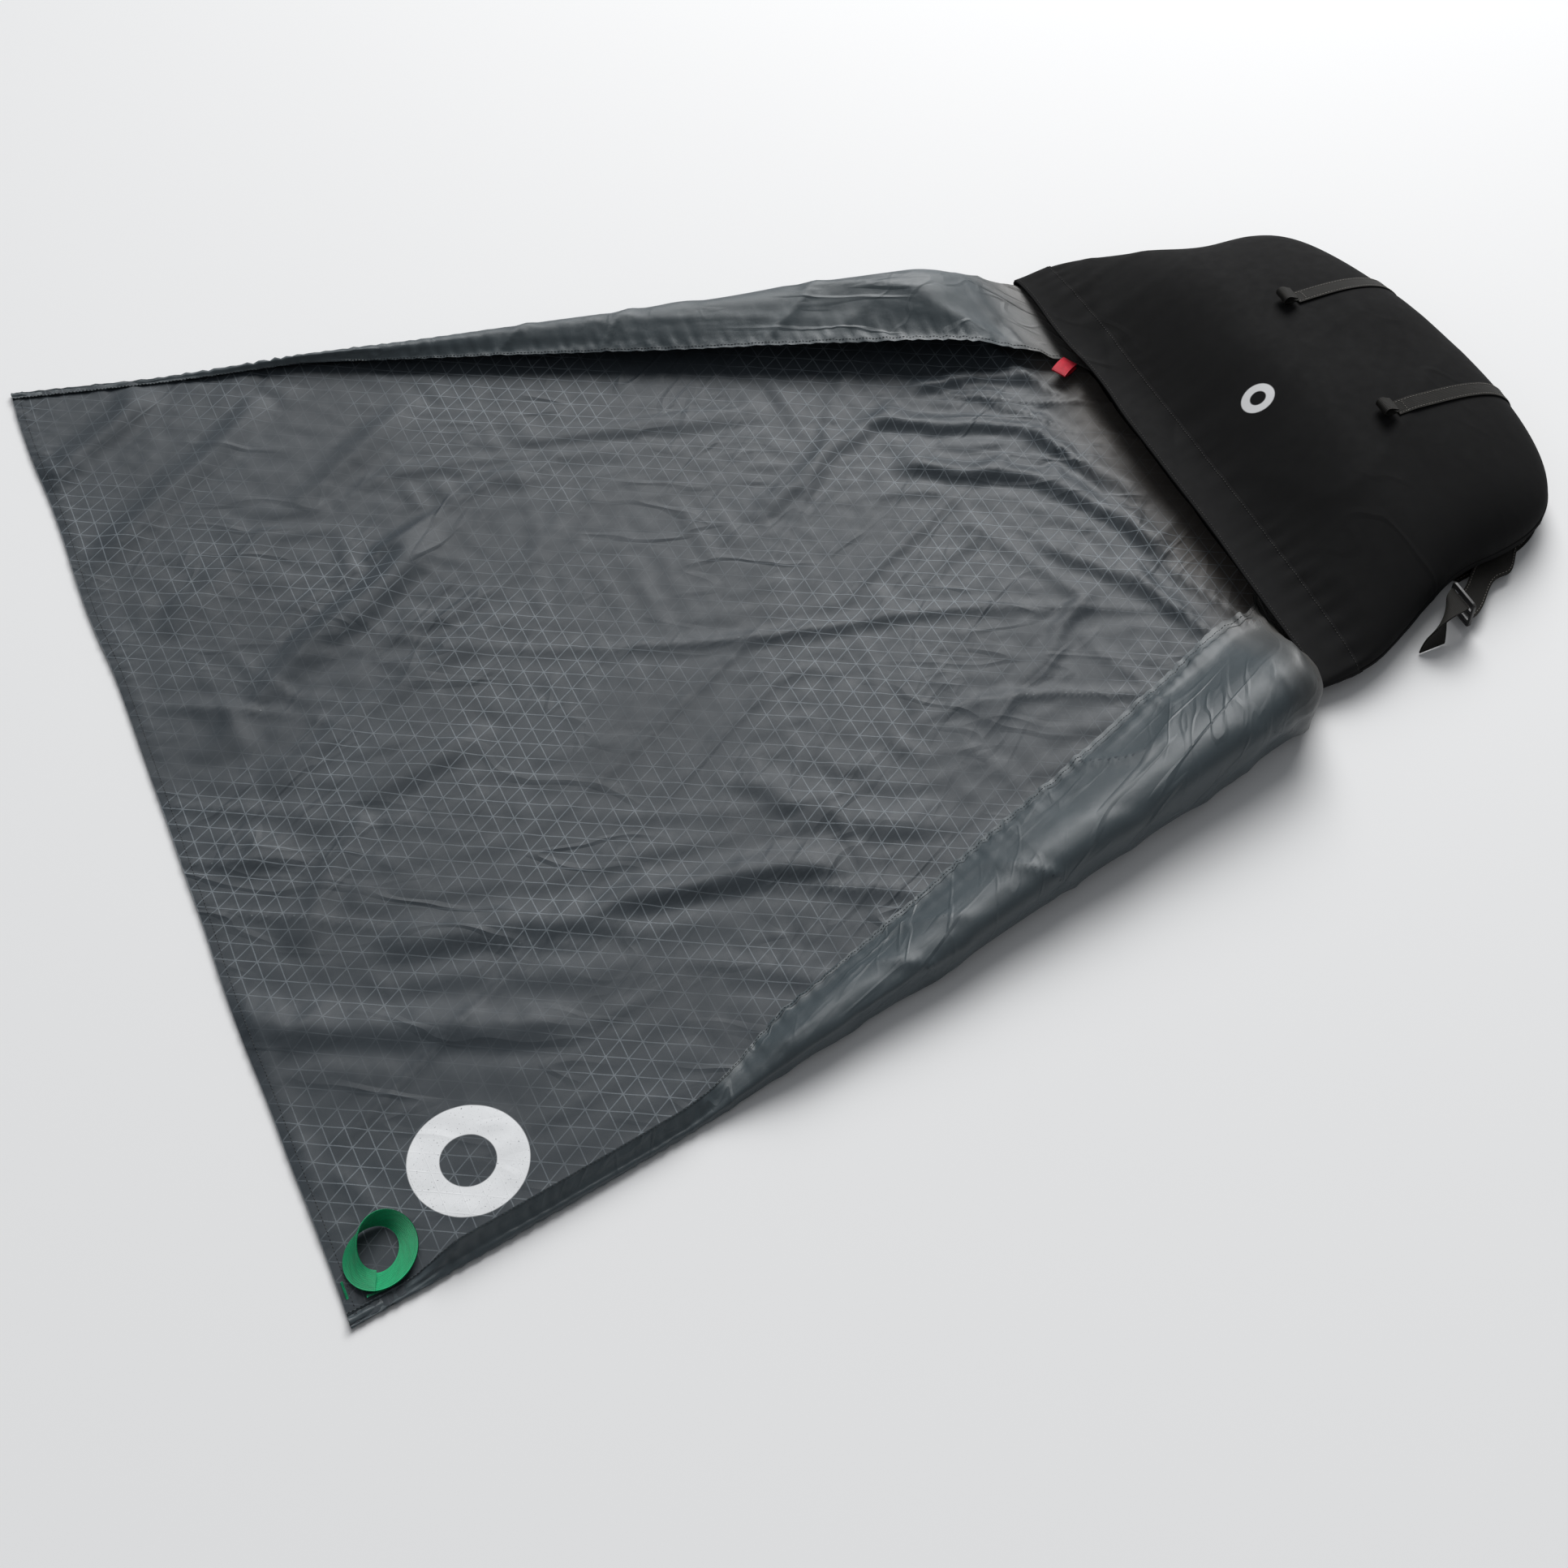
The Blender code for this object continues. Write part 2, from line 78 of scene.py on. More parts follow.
# ---- dimensions of the finished surface ------------------------------------------------------------
CLOTH = 0.0004               # thickness of a single layer
HEM_THICKNESS = 0.0013
CELL = 0.005                 # spacing of the tarp's grid
TARP_INSIDE_MOUTH = 0.012    # how far the tarp runs in under the hood's lip
SPLIT_ALONG = 0.600          # the tarp's two meshes meet here, where neither joint bends it
STRAP_THICKNESS = 0.0016
ANCHOR_THICKNESS = 0.0015
LOOP_THICKNESS = 0.0012

SLATE = (0.040, 0.049, 0.057)
SHINY_SLATE = (0.050, 0.065, 0.073)
BLACK = (0.0125, 0.0125, 0.0127)
BROWN_BLACK = (0.0125, 0.0115, 0.0092)
GREEN = (0.003, 0.480, 0.185)
RED = (0.780, 0.006, 0.035)
# painted shading: the brown the tarp is given next to the mouth, for the shade under the hood's lip
BROWN_LIP_SHADING = (0.085, 0.072, 0.061)
GRID_COLOUR = (0.27, 0.31, 0.34)
PRINT_WHITE = (0.78, 0.79, 0.80)
PALE_THREAD = (0.30, 0.28, 0.25)
DARK_THREAD = (0.035, 0.040, 0.043)
BLACK_THREAD = (0.05, 0.048, 0.044)


# ---- small mathematics -----------------------------------------------------------------------------
def smoothstep(t):
    t = np.clip(t, 0.0, 1.0)
    return t * t * (3.0 - 2.0 * t)


def lerp(a, b, t):
    return a + (b - a) * t


def unit(vectors):
    return vectors / np.maximum(np.linalg.norm(vectors, axis=-1, keepdims=True), 1e-12)


def noise(x, y, seed):
    """Smooth noise from -1 to 1 with one bump per unit."""
    table = np.random.default_rng(seed).uniform(-1.0, 1.0, (64, 64))
    cell_x, cell_y = np.floor(x).astype(int), np.floor(y).astype(int)
    fx, fy = x - cell_x, y - cell_y
    fx, fy = (f * f * f * (f * (f * 6 - 15) + 10) for f in (fx, fy))
    a, b, c, d = (table[(cell_x + i) % 64, (cell_y + j) % 64] for i, j in ((0, 0), (1, 0), (0, 1), (1, 1)))
    return lerp(lerp(a, b, fx), lerp(c, d, fx), fy)


def creases(x, y, angle, spacing, length, seed):
    """Creased folds 0 to 1 high, running at angle to +X, spacing apart and about length long."""
    c, s = math.cos(angle), math.sin(angle)
    run, side = (x * c + y * s) / length, (-x * s + y * c) / spacing
    side = side + 0.8 * noise(run * 0.7, side * 0.5, seed + 1)
    return (1.0 - np.abs(noise(run, side, seed))) ** 3


def normals_of(points):
    """Unit normals of a grid of points, from its rows towards its columns."""
    return unit(np.cross(np.gradient(points, axis=0), np.gradient(points, axis=1)))


def distances(line):
    """The distance of each point of a line from its first."""
    return np.concatenate([[0.0], np.cumsum(np.linalg.norm(np.diff(line, axis=0), axis=1))])


def resample(line, count):
    """count points at even distances along a line of points."""
    distance = distances(line)
    wanted = np.linspace(0.0, distance[-1], count)
    return np.stack([np.interp(wanted, distance, line[:, k]) for k in range(line.shape[1])], axis=1)


# ---- meshes ----------------------------------------------------------------------------------------
def new_object(name, mesh, body=None, slot=None, *nodes):
    """An object that rides on the body and stands in for the CAD nodes. slot is not used."""
    item = bpy.data.objects.new(name, mesh)
    bpy.context.scene.collection.objects.link(item)
    if body:
        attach(item, body)
    if nodes:
        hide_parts(*nodes)
    return item


def cloth_piece(name, points, thickness, materials, flat, body=None, slot=None, *nodes, normals=None):
    """A closed piece of cloth about a grid of points. The first material is on the side its normals leave."""
    rows, columns = points.shape[:2]
    normals = normals_of(points) if normals is None else normals
    half = np.broadcast_to(np.asarray(thickness, float) / 2, (rows, columns))[..., None]
    count = rows * columns
    vertices = np.concatenate([(points + normals * side * half).reshape(-1, 3) for side in (1.0, -1.0)])
    index = np.arange(count).reshape(rows, columns)
    a, b = index[:-1, :-1].ravel(), index[1:, :-1].ravel()
    c, d = index[1:, 1:].ravel(), index[:-1, 1:].ravel()
    upper = np.stack([a, b, c, d], axis=1)
    lower = np.stack([d, c, b, a], axis=1) + count
    edge = np.concatenate([index[:-1, 0], index[-1, :-1], index[:0:-1, -1], index[0, :0:-1]])
    after = np.roll(edge, -1)
    rim = np.stack([after, edge, edge + count, after + count], axis=1)
    mesh = bpy.data.meshes.new(name)
    mesh.from_pydata(vertices.tolist(), [], np.concatenate([upper, lower, rim]).tolist())
    for material in materials:
        mesh.materials.append(material)
    mesh.polygons.foreach_set("use_smooth", np.ones(len(mesh.polygons), bool))
    side = np.zeros(len(mesh.polygons), np.int32)
    side[len(upper):] = len(materials) - 1
    mesh.polygons.foreach_set("material_index", side)
    corner = np.zeros(len(mesh.loops), np.int32)
    mesh.loops.foreach_get("vertex_index", corner)
    layer = mesh.uv_layers.new(name="flat")
    layer.data.foreach_set("uv", flat.reshape(-1, 2)[corner % count].astype(np.float32).ravel())
    mesh.normals_split_custom_set_from_vertices(np.concatenate([normals.reshape(-1, 3)] * 2)
                                                * np.repeat([1.0, -1.0], count)[:, None])
    return new_object(name, mesh, body, slot, *nodes)


def square(name, size):
    """A level square that reaches size to each side of the origin."""
    mesh = bpy.data.meshes.new(name)
    corners = ((-1, -1), (1, -1), (1, 1), (-1, 1))
    mesh.from_pydata([(size * x, size * y, 0.0) for x, y in corners], [], [(0, 1, 2, 3)])
    return mesh


def flat_of(points):
    """Distances along the rows and the columns of a grid, for use as flat cloth coordinates."""
    along = np.linalg.norm(np.diff(points, axis=0, prepend=points[:1]), axis=2).cumsum(axis=0)
    across = np.linalg.norm(np.diff(points, axis=1, prepend=points[:, :1]), axis=2).cumsum(axis=1)
    return np.stack([along, across], axis=2)


FINE = (0.0030, 0.60, 0.00022)       # pitch, share and radius of the sack's fine stitches
BROAD = (0.0034, 0.60, 0.00022)      # the same for the stitches of the wide webbing


def stitches(name, line, normals, material, body=None, slot=None, size=(0.0032, 0.62, 0.00028), lift=0.0002):
    """A row of separate thread stitches along a line of points that has its surface's normals.
    size is their pitch, the share of it that the thread covers, and the thread's radius."""
    pitch, share, radius = size
    distance = distances(line)
    count = max(1, int(distance[-1] / pitch))
    starts = (np.arange(count) + (1 - share) / 2) * pitch
    stations = np.array([0.0, 0.18, 0.5, 0.82, 1.0])
    sizes = np.array([0.35, 0.9, 1.0, 0.9, 0.35])
    sides = 6
    turn = np.arange(sides) * 2 * math.pi / sides
    place = starts[:, None] + stations * share * pitch
    centre = np.stack([np.interp(place, distance, line[:, k]) for k in range(3)], axis=2)
    normal = unit(np.stack([np.interp(place, distance, normals[:, k]) for k in range(3)], axis=2))
    heading = unit(centre[:, -1] - centre[:, 0])[:, None, :]
    sideways = np.cross(np.broadcast_to(heading, normal.shape), normal)
    centre = centre + normal * (lift - radius * 0.5 * (sizes[:, None] < 0.5))
    ring = (sideways[:, :, None, :] * np.cos(turn)[:, None] + normal[:, :, None, :] * np.sin(turn)[:, None])
    vertices = centre[:, :, None, :] + ring * (radius * sizes[:, None, None])
    block = len(stations) * sides
    turns = [(j, (j + 1) % sides) for j in range(sides)]
    faces = [(k + j, k + n, k + sides + n, k + sides + j)
             for k in range(0, block - sides, sides) for j, n in turns]
    ends = [tuple(reversed(range(sides))), tuple(range(block - sides, block))]
    every = [tuple(v + block * i for v in face) for i in range(count) for face in faces + ends]
    mesh = bpy.data.meshes.new(name)
    mesh.from_pydata(vertices.reshape(-1, 3).tolist(), [], every)
    mesh.materials.append(material)
    mesh.shade_smooth()
    return new_object(name, mesh, body, slot)


# ---- materials -------------------------------------------------------------------------------------
class Shader:
    """A Principled material with short ways to add nodes to it."""

    def __init__(self, name, colour, roughness, **sockets):
        self.material = bpy.data.materials.new(name)
        self.material.use_nodes = True
        self.tree = self.material.node_tree
        self.main = self.tree.nodes["Principled BSDF"]
        self.main.inputs["Base Color"].default_value = (*colour, 1.0)
        self.main.inputs["Roughness"].default_value = roughness
        for socket, value in sockets.items():
            self.main.inputs[socket.replace("_", " ")].default_value = value

    def put(self, socket, value):
        if hasattr(value, "is_output"):
            self.tree.links.new(value, socket)
        else:
            socket.default_value = value

    def node(self, kind, settings=None, **inputs):
        made = self.tree.nodes.new(kind)
        for key, value in (settings or {}).items():
            setattr(made, key, value)
        for key, value in inputs.items():
            self.put(made.inputs[key], value)
        return made

    def math(self, operation, *values):
        made = self.node("ShaderNodeMath", {"operation": operation})
        for socket, value in zip(made.inputs, values):
            self.put(socket, value)
        return made.outputs[0]

    def flat(self):
        """The cloth's own flat coordinates, in metres."""
        made = self.node("ShaderNodeSeparateXYZ", Vector=self.flat_vector())
        return made.outputs["X"], made.outputs["Y"]

    def flat_vector(self):
        return self.node("ShaderNodeUVMap", {"uv_map": "flat"}).outputs["UV"]

    def place(self):
        return self.node("ShaderNodeTexCoord").outputs["Object"]

    def times(self, a, b):
        return self.math("MULTIPLY", a, b)

    def noise(self, vector, scale, detail=4.0, roughness=0.55, stretch=None):
        if stretch:
            vector = self.node("ShaderNodeMapping", Vector=vector, Scale=stretch).outputs["Vector"]
        return self.node("ShaderNodeTexNoise", Vector=vector, Scale=scale, Detail=detail,
                         Roughness=roughness).outputs["Fac"]

    def ramp(self, value, low, high, start=0.0, stop=1.0):
        """Maps value from low..high to start..stop, held at the ends."""
        made = self.node("ShaderNodeMapRange", {"clamp": True}, Value=value)
        for key, number in (("From Min", low), ("From Max", high), ("To Min", start), ("To Max", stop)):
            made.inputs[key].default_value = number
        return made.outputs["Result"]

    def patches(self, scale, detail, low=0.3, high=0.7, start=0.0, stop=1.0, stretch=None):
        """Patches of noise on the flat cloth, from start to stop."""
        value = self.noise(self.flat_vector(), scale, detail, stretch=stretch)
        return self.ramp(value, low, high, start, stop)

    def mottled(self, colour, scale, dark, pale, detail=5.0):
        """The colour in patches between a dark and a pale tint of it."""
        return self.mix(self.patches(scale, detail), tint(colour, dark), tint(colour, pale))

    def mix(self, share, a, b):
        made = self.tree.nodes.new("ShaderNodeMix")
        made.data_type = "RGBA"
        for socket, value in ((made.inputs["Factor"], share), (made.inputs[6], a), (made.inputs[7], b)):
            self.put(socket, (*value, 1.0) if isinstance(value, tuple) and len(value) == 3 else value)
        return made.outputs[2]

    def colour(self, value):
        self.put(self.main.inputs["Base Color"], value)

    def rough(self, value):
        self.put(self.main.inputs["Roughness"], value)

    def bump(self, height, distance, strength=1.0):
        made = self.node("ShaderNodeBump", Height=height, Distance=distance, Strength=strength)
        found = self.main.inputs["Normal"].links
        if found:
            self.put(made.inputs["Normal"], found[0].from_socket)
        self.put(self.main.inputs["Normal"], made.outputs["Normal"])

    def uneven(self, scale, distance, strength):
        """A soft unevenness of the cloth."""
        self.bump(self.noise(self.flat_vector(), scale, 4.0, 0.5), distance, strength)

    def wave(self, value, pitch):
        """0 to 1 and back, once per pitch."""
        turns = self.times(value, 2 * math.pi / pitch)
        return self.math("MULTIPLY_ADD", self.math("SINE", turns), 0.5, 0.5)

    def weave(self, pitch, distance):
        """Plain weave relief: two crossing families of threads."""
        u, v = self.flat()
        self.bump(self.times(self.wave(u, pitch), self.wave(v, pitch)), distance)

    def crisp(self, scale, stretch, distance, turn=0.0):
        """Relief of thin, sharp creases that run along the stretched direction."""
        turned = self.node("ShaderNodeMapping", Vector=self.flat_vector(), Rotation=(0.0, 0.0, turn))
        vector = turned.outputs["Vector"]
        wander = self.noise(vector, scale, 2.0, 0.5, stretch)
        from_line = self.math("ABSOLUTE", self.math("SUBTRACT", wander, 0.5))
        fold = self.ramp(from_line, 0.0, 0.035, 1.0, 0.0)
        self.bump(self.times(fold, self.ramp(self.noise(vector, 5.0, 1.0), 0.45, 0.65)), distance, 0.6)

    def throat(self, cloth):
        """The same cloth turning brown towards the mouth: painted shading for the shade under the hood's lip.
        """
        u = self.math("ADD", self.flat()[0], self.times(self.noise(self.flat_vector(), 9.0, 2.0), 0.07))
        # painted shading: mixes the brown in towards the mouth
        return self.mix(self.ramp(u, 0.875, 0.925, 0.0, 0.75), cloth, BROWN_LIP_SHADING)

    def line_family(self, value, pitch, width):
        """1 on thin lines that repeat every pitch, 0 between them."""
        phase = self.math("FRACT", self.math("MULTIPLY_ADD", value, 1.0 / pitch, 0.5))
        from_line = self.math("ABSOLUTE", self.math("SUBTRACT", phase, 0.5))
        return self.ramp(from_line, 0.30 * width / pitch, 0.75 * width / pitch, 1.0, 0.0)


def tint(colour, gain):
    return tuple(min(1.0, c * gain) for c in colour)


def ring_mask(shader, centre, inner, outer):
    """1 on a plain printed ring about a centre on the flat cloth."""
    u, v = shader.flat()
    du, dv = shader.math("SUBTRACT", u, centre[0]), shader.math("SUBTRACT", v, centre[1])
    distance = shader.math("SQRT", shader.math("ADD", shader.times(du, du), shader.times(dv, dv)))
    edge = 0.0004
    inside = shader.ramp(distance, inner - edge, inner + edge)
    return shader.times(inside, shader.ramp(distance, outer - edge, outer + edge, 1.0, 0.0))


GRID_PITCH = 0.0150
GRID_LINE = 0.0008
# centre on the flat cloth, inner and outer radius
TARP_RING = ((0.118, -0.418), 0.021, 0.045)
HOOD_RING = ((0.3836, -0.0511), 0.0065, 0.0135)


def tarp_inside_material():
    """Coated cloth with a fine printed grid of triangles."""
    shader = Shader("tarp_inside", SLATE, 0.42, Specular_IOR_Level=0.22)
    u, v = shader.flat()
    rise, half = shader.times(v, math.cos(math.radians(30))), shader.times(u, 0.5)
    families = (u, shader.math("ADD", rise, half), shader.math("SUBTRACT", rise, half))
    lines = [shader.line_family(value, GRID_PITCH, GRID_LINE) for value in families]
    grid = shader.math("MAXIMUM", shader.math("MAXIMUM", lines[0], lines[1]), lines[2])
    # painted highlight: the printed grid is kept bright in broad patches, where the print catches the light,
    # and faint elsewhere
    lit_grid_patches = shader.patches(5.0, 3.0, 0.42, 0.60, 0.10, 1.0)
    broken = shader.patches(900.0, 2.0, 0.25, 0.55, 0.45, 1.0)
    grid = shader.times(shader.times(grid, lit_grid_patches), broken)
    # throat() paints the shade under the hood's lip in brown
    cloth = shader.throat(shader.mottled(SLATE, 9.0, 0.90, 1.08))
    # the grid's strength here carries the painted highlight patches as well as the print
    printed = shader.mix(shader.times(grid, 0.50), cloth, GRID_COLOUR)
    mark = shader.times(ring_mask(shader, *TARP_RING), shader.patches(700.0, 3.0, 0.26, 0.36))
    shader.colour(shader.mix(mark, printed, PRINT_WHITE))
    shader.rough(shader.patches(60.0, 4.0, 0.3, 0.7, 0.38, 0.48))
    shader.uneven(90.0, 0.0006, 0.20)
    shader.crisp(6.0, (0.8, 2.6, 1.0), 0.0010, 0.5)
    shader.crisp(7.0, (0.7, 2.8, 1.0), 0.0008, -0.6)
    shader.weave(0.0005, 0.00003)
    shader.bump(grid, 0.00006)
    return shader.material


def tarp_outside_material():
    """The uncoated, shiny side of the same cloth."""
    shader = Shader("tarp_outside", SHINY_SLATE, 0.40, Specular_IOR_Level=0.42, Anisotropic=0.3)
    # painted highlight: paler lengthwise streaks in the colour for the streaky sheen of the shiny side; the
    # same streaks also vary the roughness
    sheen_streaks = shader.patches(1.0, 3.0, stretch=(120.0, 1500.0, 1.0))
    # throat() paints the shade under the hood's lip in brown
    base = shader.throat(shader.mottled(SHINY_SLATE, 14.0, 0.88, 1.10))
    shader.colour(shader.mix(shader.times(sheen_streaks, 0.25), base, tint(SHINY_SLATE, 1.35)))
    shader.rough(shader.ramp(sheen_streaks, 0.0, 1.0, 0.36, 0.44))
    shader.uneven(100.0, 0.0007, 0.25)
    shader.crisp(8.0, (0.5, 3.4, 1.0), 0.0013, 0.12)
    shader.crisp(12.0, (0.8, 2.4, 1.0), 0.0009, 0.9)
    shader.weave(0.0005, 0.00004)
    return shader.material


def sack_material(name, gain=1.0, ring=None):
    """Matte black plain weave, with a small plain ring where ring gives its centre and radii."""
    shader = Shader(name, BLACK, 0.78, Specular_IOR_Level=0.05)
    cloth = shader.mottled(BLACK, 18.0, 0.92 * gain, 1.08 * gain)
    if ring:
        cloth = shader.mix(ring_mask(shader, *ring), cloth, (0.80, 0.80, 0.80))
    shader.colour(cloth)
    shader.rough(shader.patches(90.0, 4.0, 0.3, 0.7, 0.72, 0.84))
    shader.uneven(80.0, 0.0005, 0.20)
    shader.crisp(6.0, (1.0, 2.4, 1.0), 0.0009, 1.2)
    shader.weave(0.0006, 0.00005)
    return shader.material


def webbing_material(name, colour, width, roughness=0.66, specular=0.22):
    """Ribbed webbing: fine cross ribs, coarser lengthwise cords and paler rubbed edges."""
    shader = Shader(name, colour, roughness, Specular_IOR_Level=specular)
    u, v = shader.flat()
    ribs = shader.wave(u, 0.0009)
    cords = shader.wave(v, 0.0013)
    from_middle = shader.math("ABSOLUTE", shader.math("SUBTRACT", v, width / 2))
    edge = shader.ramp(from_middle, width * 0.40, width * 0.50)
    base = shader.mottled(colour, 160.0, 0.78, 1.15, 4.0)
    base = shader.mix(shader.times(ribs, 0.35), base, tint(colour, 0.55))
    shader.colour(shader.mix(shader.times(edge, 0.35), base, tint(colour, 1.5)))
    shader.rough(shader.ramp(ribs, 0.0, 1.0, roughness - 0.10, roughness + 0.10))
    shader.bump(ribs, 0.00022)
    shader.bump(cords, 0.00010)
    return shader.material


def thread_material(name, colour):
    shader = Shader(name, colour, 0.55, Specular_IOR_Level=0.4)
    speckle = shader.ramp(shader.noise(shader.place(), 1400.0, 2.0), 0.3, 0.7)
    shader.colour(shader.mix(speckle, tint(colour, 0.7), tint(colour, 1.2)))
    shader.bump(speckle, 0.00008)
    return shader.material


def plastic_material():
    shader = Shader("buckle_nylon", (0.018, 0.018, 0.018), 0.42, Specular_IOR_Level=0.5)
    grain = shader.noise(shader.place(), 2600.0, 3.0)
    shader.rough(shader.ramp(grain, 0.3, 0.7, 0.34, 0.52))
    shader.colour(shader.mix(shader.ramp(shader.noise(shader.place(), 300.0), 0.4, 0.7),
                             (0.015, 0.015, 0.015), (0.030, 0.029, 0.028)))
    shader.bump(grain, 0.00005)
    return shader.material


INSIDE = tarp_inside_material()
OUTSIDE = tarp_outside_material()
SACK = sack_material("sack_cloth")
LIP = sack_material("mouth_band_cloth", 1.25)
HOOD = sack_material("hood_cloth", 1.0, HOOD_RING)
BLACK_NARROW = webbing_material("webbing_narrow", BROWN_BLACK, NARROW_WEBBING)
BLACK_WIDE = webbing_material("webbing_wide", BROWN_BLACK, STRAP_WEBBING)
GREEN_WEBBING = webbing_material("webbing_green", GREEN, NARROW_WEBBING, 0.48, 0.45)
RED_WEBBING = webbing_material("webbing_red", RED, NARROW_WEBBING, 0.48, 0.45)
THREAD_PALE = thread_material("thread_pale", PALE_THREAD)
THREAD_DARK = thread_material("thread_dark", DARK_THREAD)
THREAD_GREEN = thread_material("thread_green", tint(GREEN, 1.1))
THREAD_BLACK = thread_material("thread_black", BLACK_THREAD)
NYLON = plastic_material()


# ---- tarp ------------------------------------------------------------------------------------------
def drawn_in(along, first):
    """How far a wing's outer edge draws in towards the sack's corner."""
    return first * smoothstep((along - 0.862) / 0.040) + 0.016 * smoothstep((along - 0.898) / 0.014)


def near_fold_y(along):
    """Outer edge of the near wing."""
    return -TARP_WIDTH / 2 + 0.12 * along + 0.07 * along ** 2 + drawn_in(along, 0.026)


def far_fold_y(along):
    return TARP_WIDTH / 2 - 0.303 * along - drawn_in(along, 0.010)


def near_wing(along):
    """Width, height and hem height of the near wing. The hood's lip presses it down at the mouth."""
    pressed = 1.0 - 0.78 * smoothstep((along - 0.868) / 0.040)
    height = np.maximum(0.004, 0.075 * along * pressed)
    width = np.maximum(0.010, 0.165 * (along - 0.10)) - 0.030 * smoothstep((along - 0.85) / 0.05)
    # by the corner the edge stands up instead, with its hem highest
    standing = smoothstep((along - 0.045) / 0.05) * (1.0 - smoothstep((along - 0.26) / 0.12))
    return (lerp(width, 0.013, standing), lerp(height, 0.006, standing),
            lerp(0.35 * height + 0.001, 0.016, standing))


def far_wing(along):
    pressed = 1.0 - 0.72 * smoothstep((along - 0.80) / 0.105)
    height = np.maximum(0.004, 0.060 * along * pressed * smoothstep((along + 0.05) / 0.35))
    width = np.maximum(0.008, 0.158 * (along - 0.205))
    return width, height, 0.60 * height + 0.0006


def wing_line(width, height, hem_height, count=90):
    """Section of a wing from the floor round its fold to its hem: inward distance and height."""
    reach = min(0.5 * height, 0.45 * width)
    angle = np.linspace(0.0, math.pi, count)
    power = 0.72
    outer = reach * (1.0 - np.abs(np.sin(angle)) ** power)
    lift = height / 2 * (1.0 - np.sign(np.cos(angle)) * np.abs(np.cos(angle)) ** power)
    run = np.linspace(0.0, 1.0, 40)[1:]
    inner = lerp(reach, width, run)
    drop = lerp(height, hem_height, 0.35 * run + 0.65 * smoothstep(run))
    return np.stack([np.concatenate([outer, inner]), np.concatenate([lift, drop])], axis=1)


def fold_ridge(along, across, start, stop, height, width):
    """One soft fold from start to stop, steeper on its right-hand side."""
    start, stop = np.array(start), np.array(stop)
    heading = stop - start
    length = np.linalg.norm(heading)
    heading = heading / length
    dx, dy = along - start[0], across - start[1]
    run = (dx * heading[0] + dy * heading[1]) / length
    off = -dx * heading[1] + dy * heading[0]
    off = off + 0.012 * noise(run * 1.7, off * 0 + start[0] * 9, 7)
    wide = 1.35 * width
    shape = np.where(off > 0, np.exp(-(off / wide) ** 2), np.exp(-(off / (0.60 * wide)) ** 2))
    ends = smoothstep(run / 0.25 + 0.35) * smoothstep((1.0 - run) / 0.25 + 0.35)
    return height * shape * ends


FLOOR_FOLDS = (              # start and stop as (along, across), height, half width
    ((0.000, 0.375), (0.120, 0.440), 0.0060, 0.016),
    ((0.020, 0.268), (0.210, 0.385), 0.0055, 0.020),
    ((0.035, 0.165), (0.330, 0.330), 0.0075, 0.034),
    ((0.030, 0.020), (0.300, 0.185), 0.0085, 0.036),
    ((0.150, 0.090), (0.420, 0.215), 0.0050, 0.026),
    ((0.060, -0.030), (0.330, 0.060), 0.0060, 0.026),
    ((0.020, -0.095), (0.260, -0.060), 0.0055, 0.022),
    ((0.055, -0.190), (0.150, -0.095), 0.0045, 0.016),
    ((0.000, -0.235), (0.230, -0.350), 0.0060, 0.022),
    ((0.120, -0.200), (0.330, -0.300), 0.0045, 0.020),
    ((0.300, -0.262), (0.470, -0.300), 0.0055, 0.014),
    ((0.420, -0.180), (0.560, -0.300), 0.0040, 0.020),
    ((0.380, 0.250), (0.620, 0.190), 0.0045, 0.026),
    ((0.560, 0.080), (0.780, 0.150), 0.0050, 0.022),
    ((0.640, -0.240), (0.780, -0.120), 0.0042, 0.020),
    ((0.700, 0.120), (0.835, 0.070), 0.0060, 0.012),
    ((0.835, 0.070), (0.880, -0.060), 0.0060, 0.012),
    ((0.700, 0.060), (0.815, 0.010), 0.0055, 0.013),
    ((0.815, 0.010), (0.870, -0.130), 0.0050, 0.012),
    ((0.760, 0.160), (0.870, 0.110), 0.0050, 0.010),
    ((0.600, -0.080), (0.740, -0.030), 0.0035, 0.018),
    ((0.780, -0.060), (0.850, -0.200), 0.0038, 0.014),
)


def floor_relief(along, across):
    """Height of the folds and creases in the floor cloth."""
    relief = 0.0
    for fold in FLOOR_FOLDS:
        relief = np.maximum(relief, 0.0) + fold_ridge(along, across, *fold)
    slant = math.radians(27.0)
    fine = 0.0026 * creases(along, across, slant, 0.100, 0.300, 11) ** 2
    fine = fine + 0.0020 * creases(along, across, -slant, 0.090, 0.260, 12) ** 2
    fine = fine + 0.0010 * creases(along, across, 1.3, 0.070, 0.150, 13) ** 2
    busy = 0.55 + 0.45 * noise(along * 6, across * 6, 14)
    near_mouth = smoothstep((along - 0.66) / 0.20)
    fine = fine * busy + 0.0026 * near_mouth * creases(along, across, 1.95, 0.042, 0.170, 15)
    return relief + fine


def edge_pucker(run, distance, seed, height=0.0011, reach=0.016, pitch=0.013):
    """Small folds that a line of stitching draws up in the cloth beside it."""
    phase = run / pitch + 0.9 * noise(run / 0.045, run * 0 + 0.5, seed)
    strength = 0.65 + 0.5 * noise(run / 0.028, run * 0 + 3.5, seed + 1)
    return height * strength * np.sin(2 * math.pi * phase) * np.exp(-np.abs(distance) / reach)


NEAR_COLUMNS, FAR_COLUMNS = 42, 36
FLOOR_COLUMNS = 200
HEM_COLUMNS = 3


def tarp_rows():
    """Distances along of the tarp's rows, one of them on the split."""
    before = np.linspace(0.0, SPLIT_ALONG, round(SPLIT_ALONG / CELL) + 1)
    last = TARP_LENGTH + TARP_INSIDE_MOUTH
    after = np.linspace(SPLIT_ALONG, last, round((last - SPLIT_ALONG) / CELL) + 1)
    return np.concatenate([before, after[1:]]), len(before) - 1


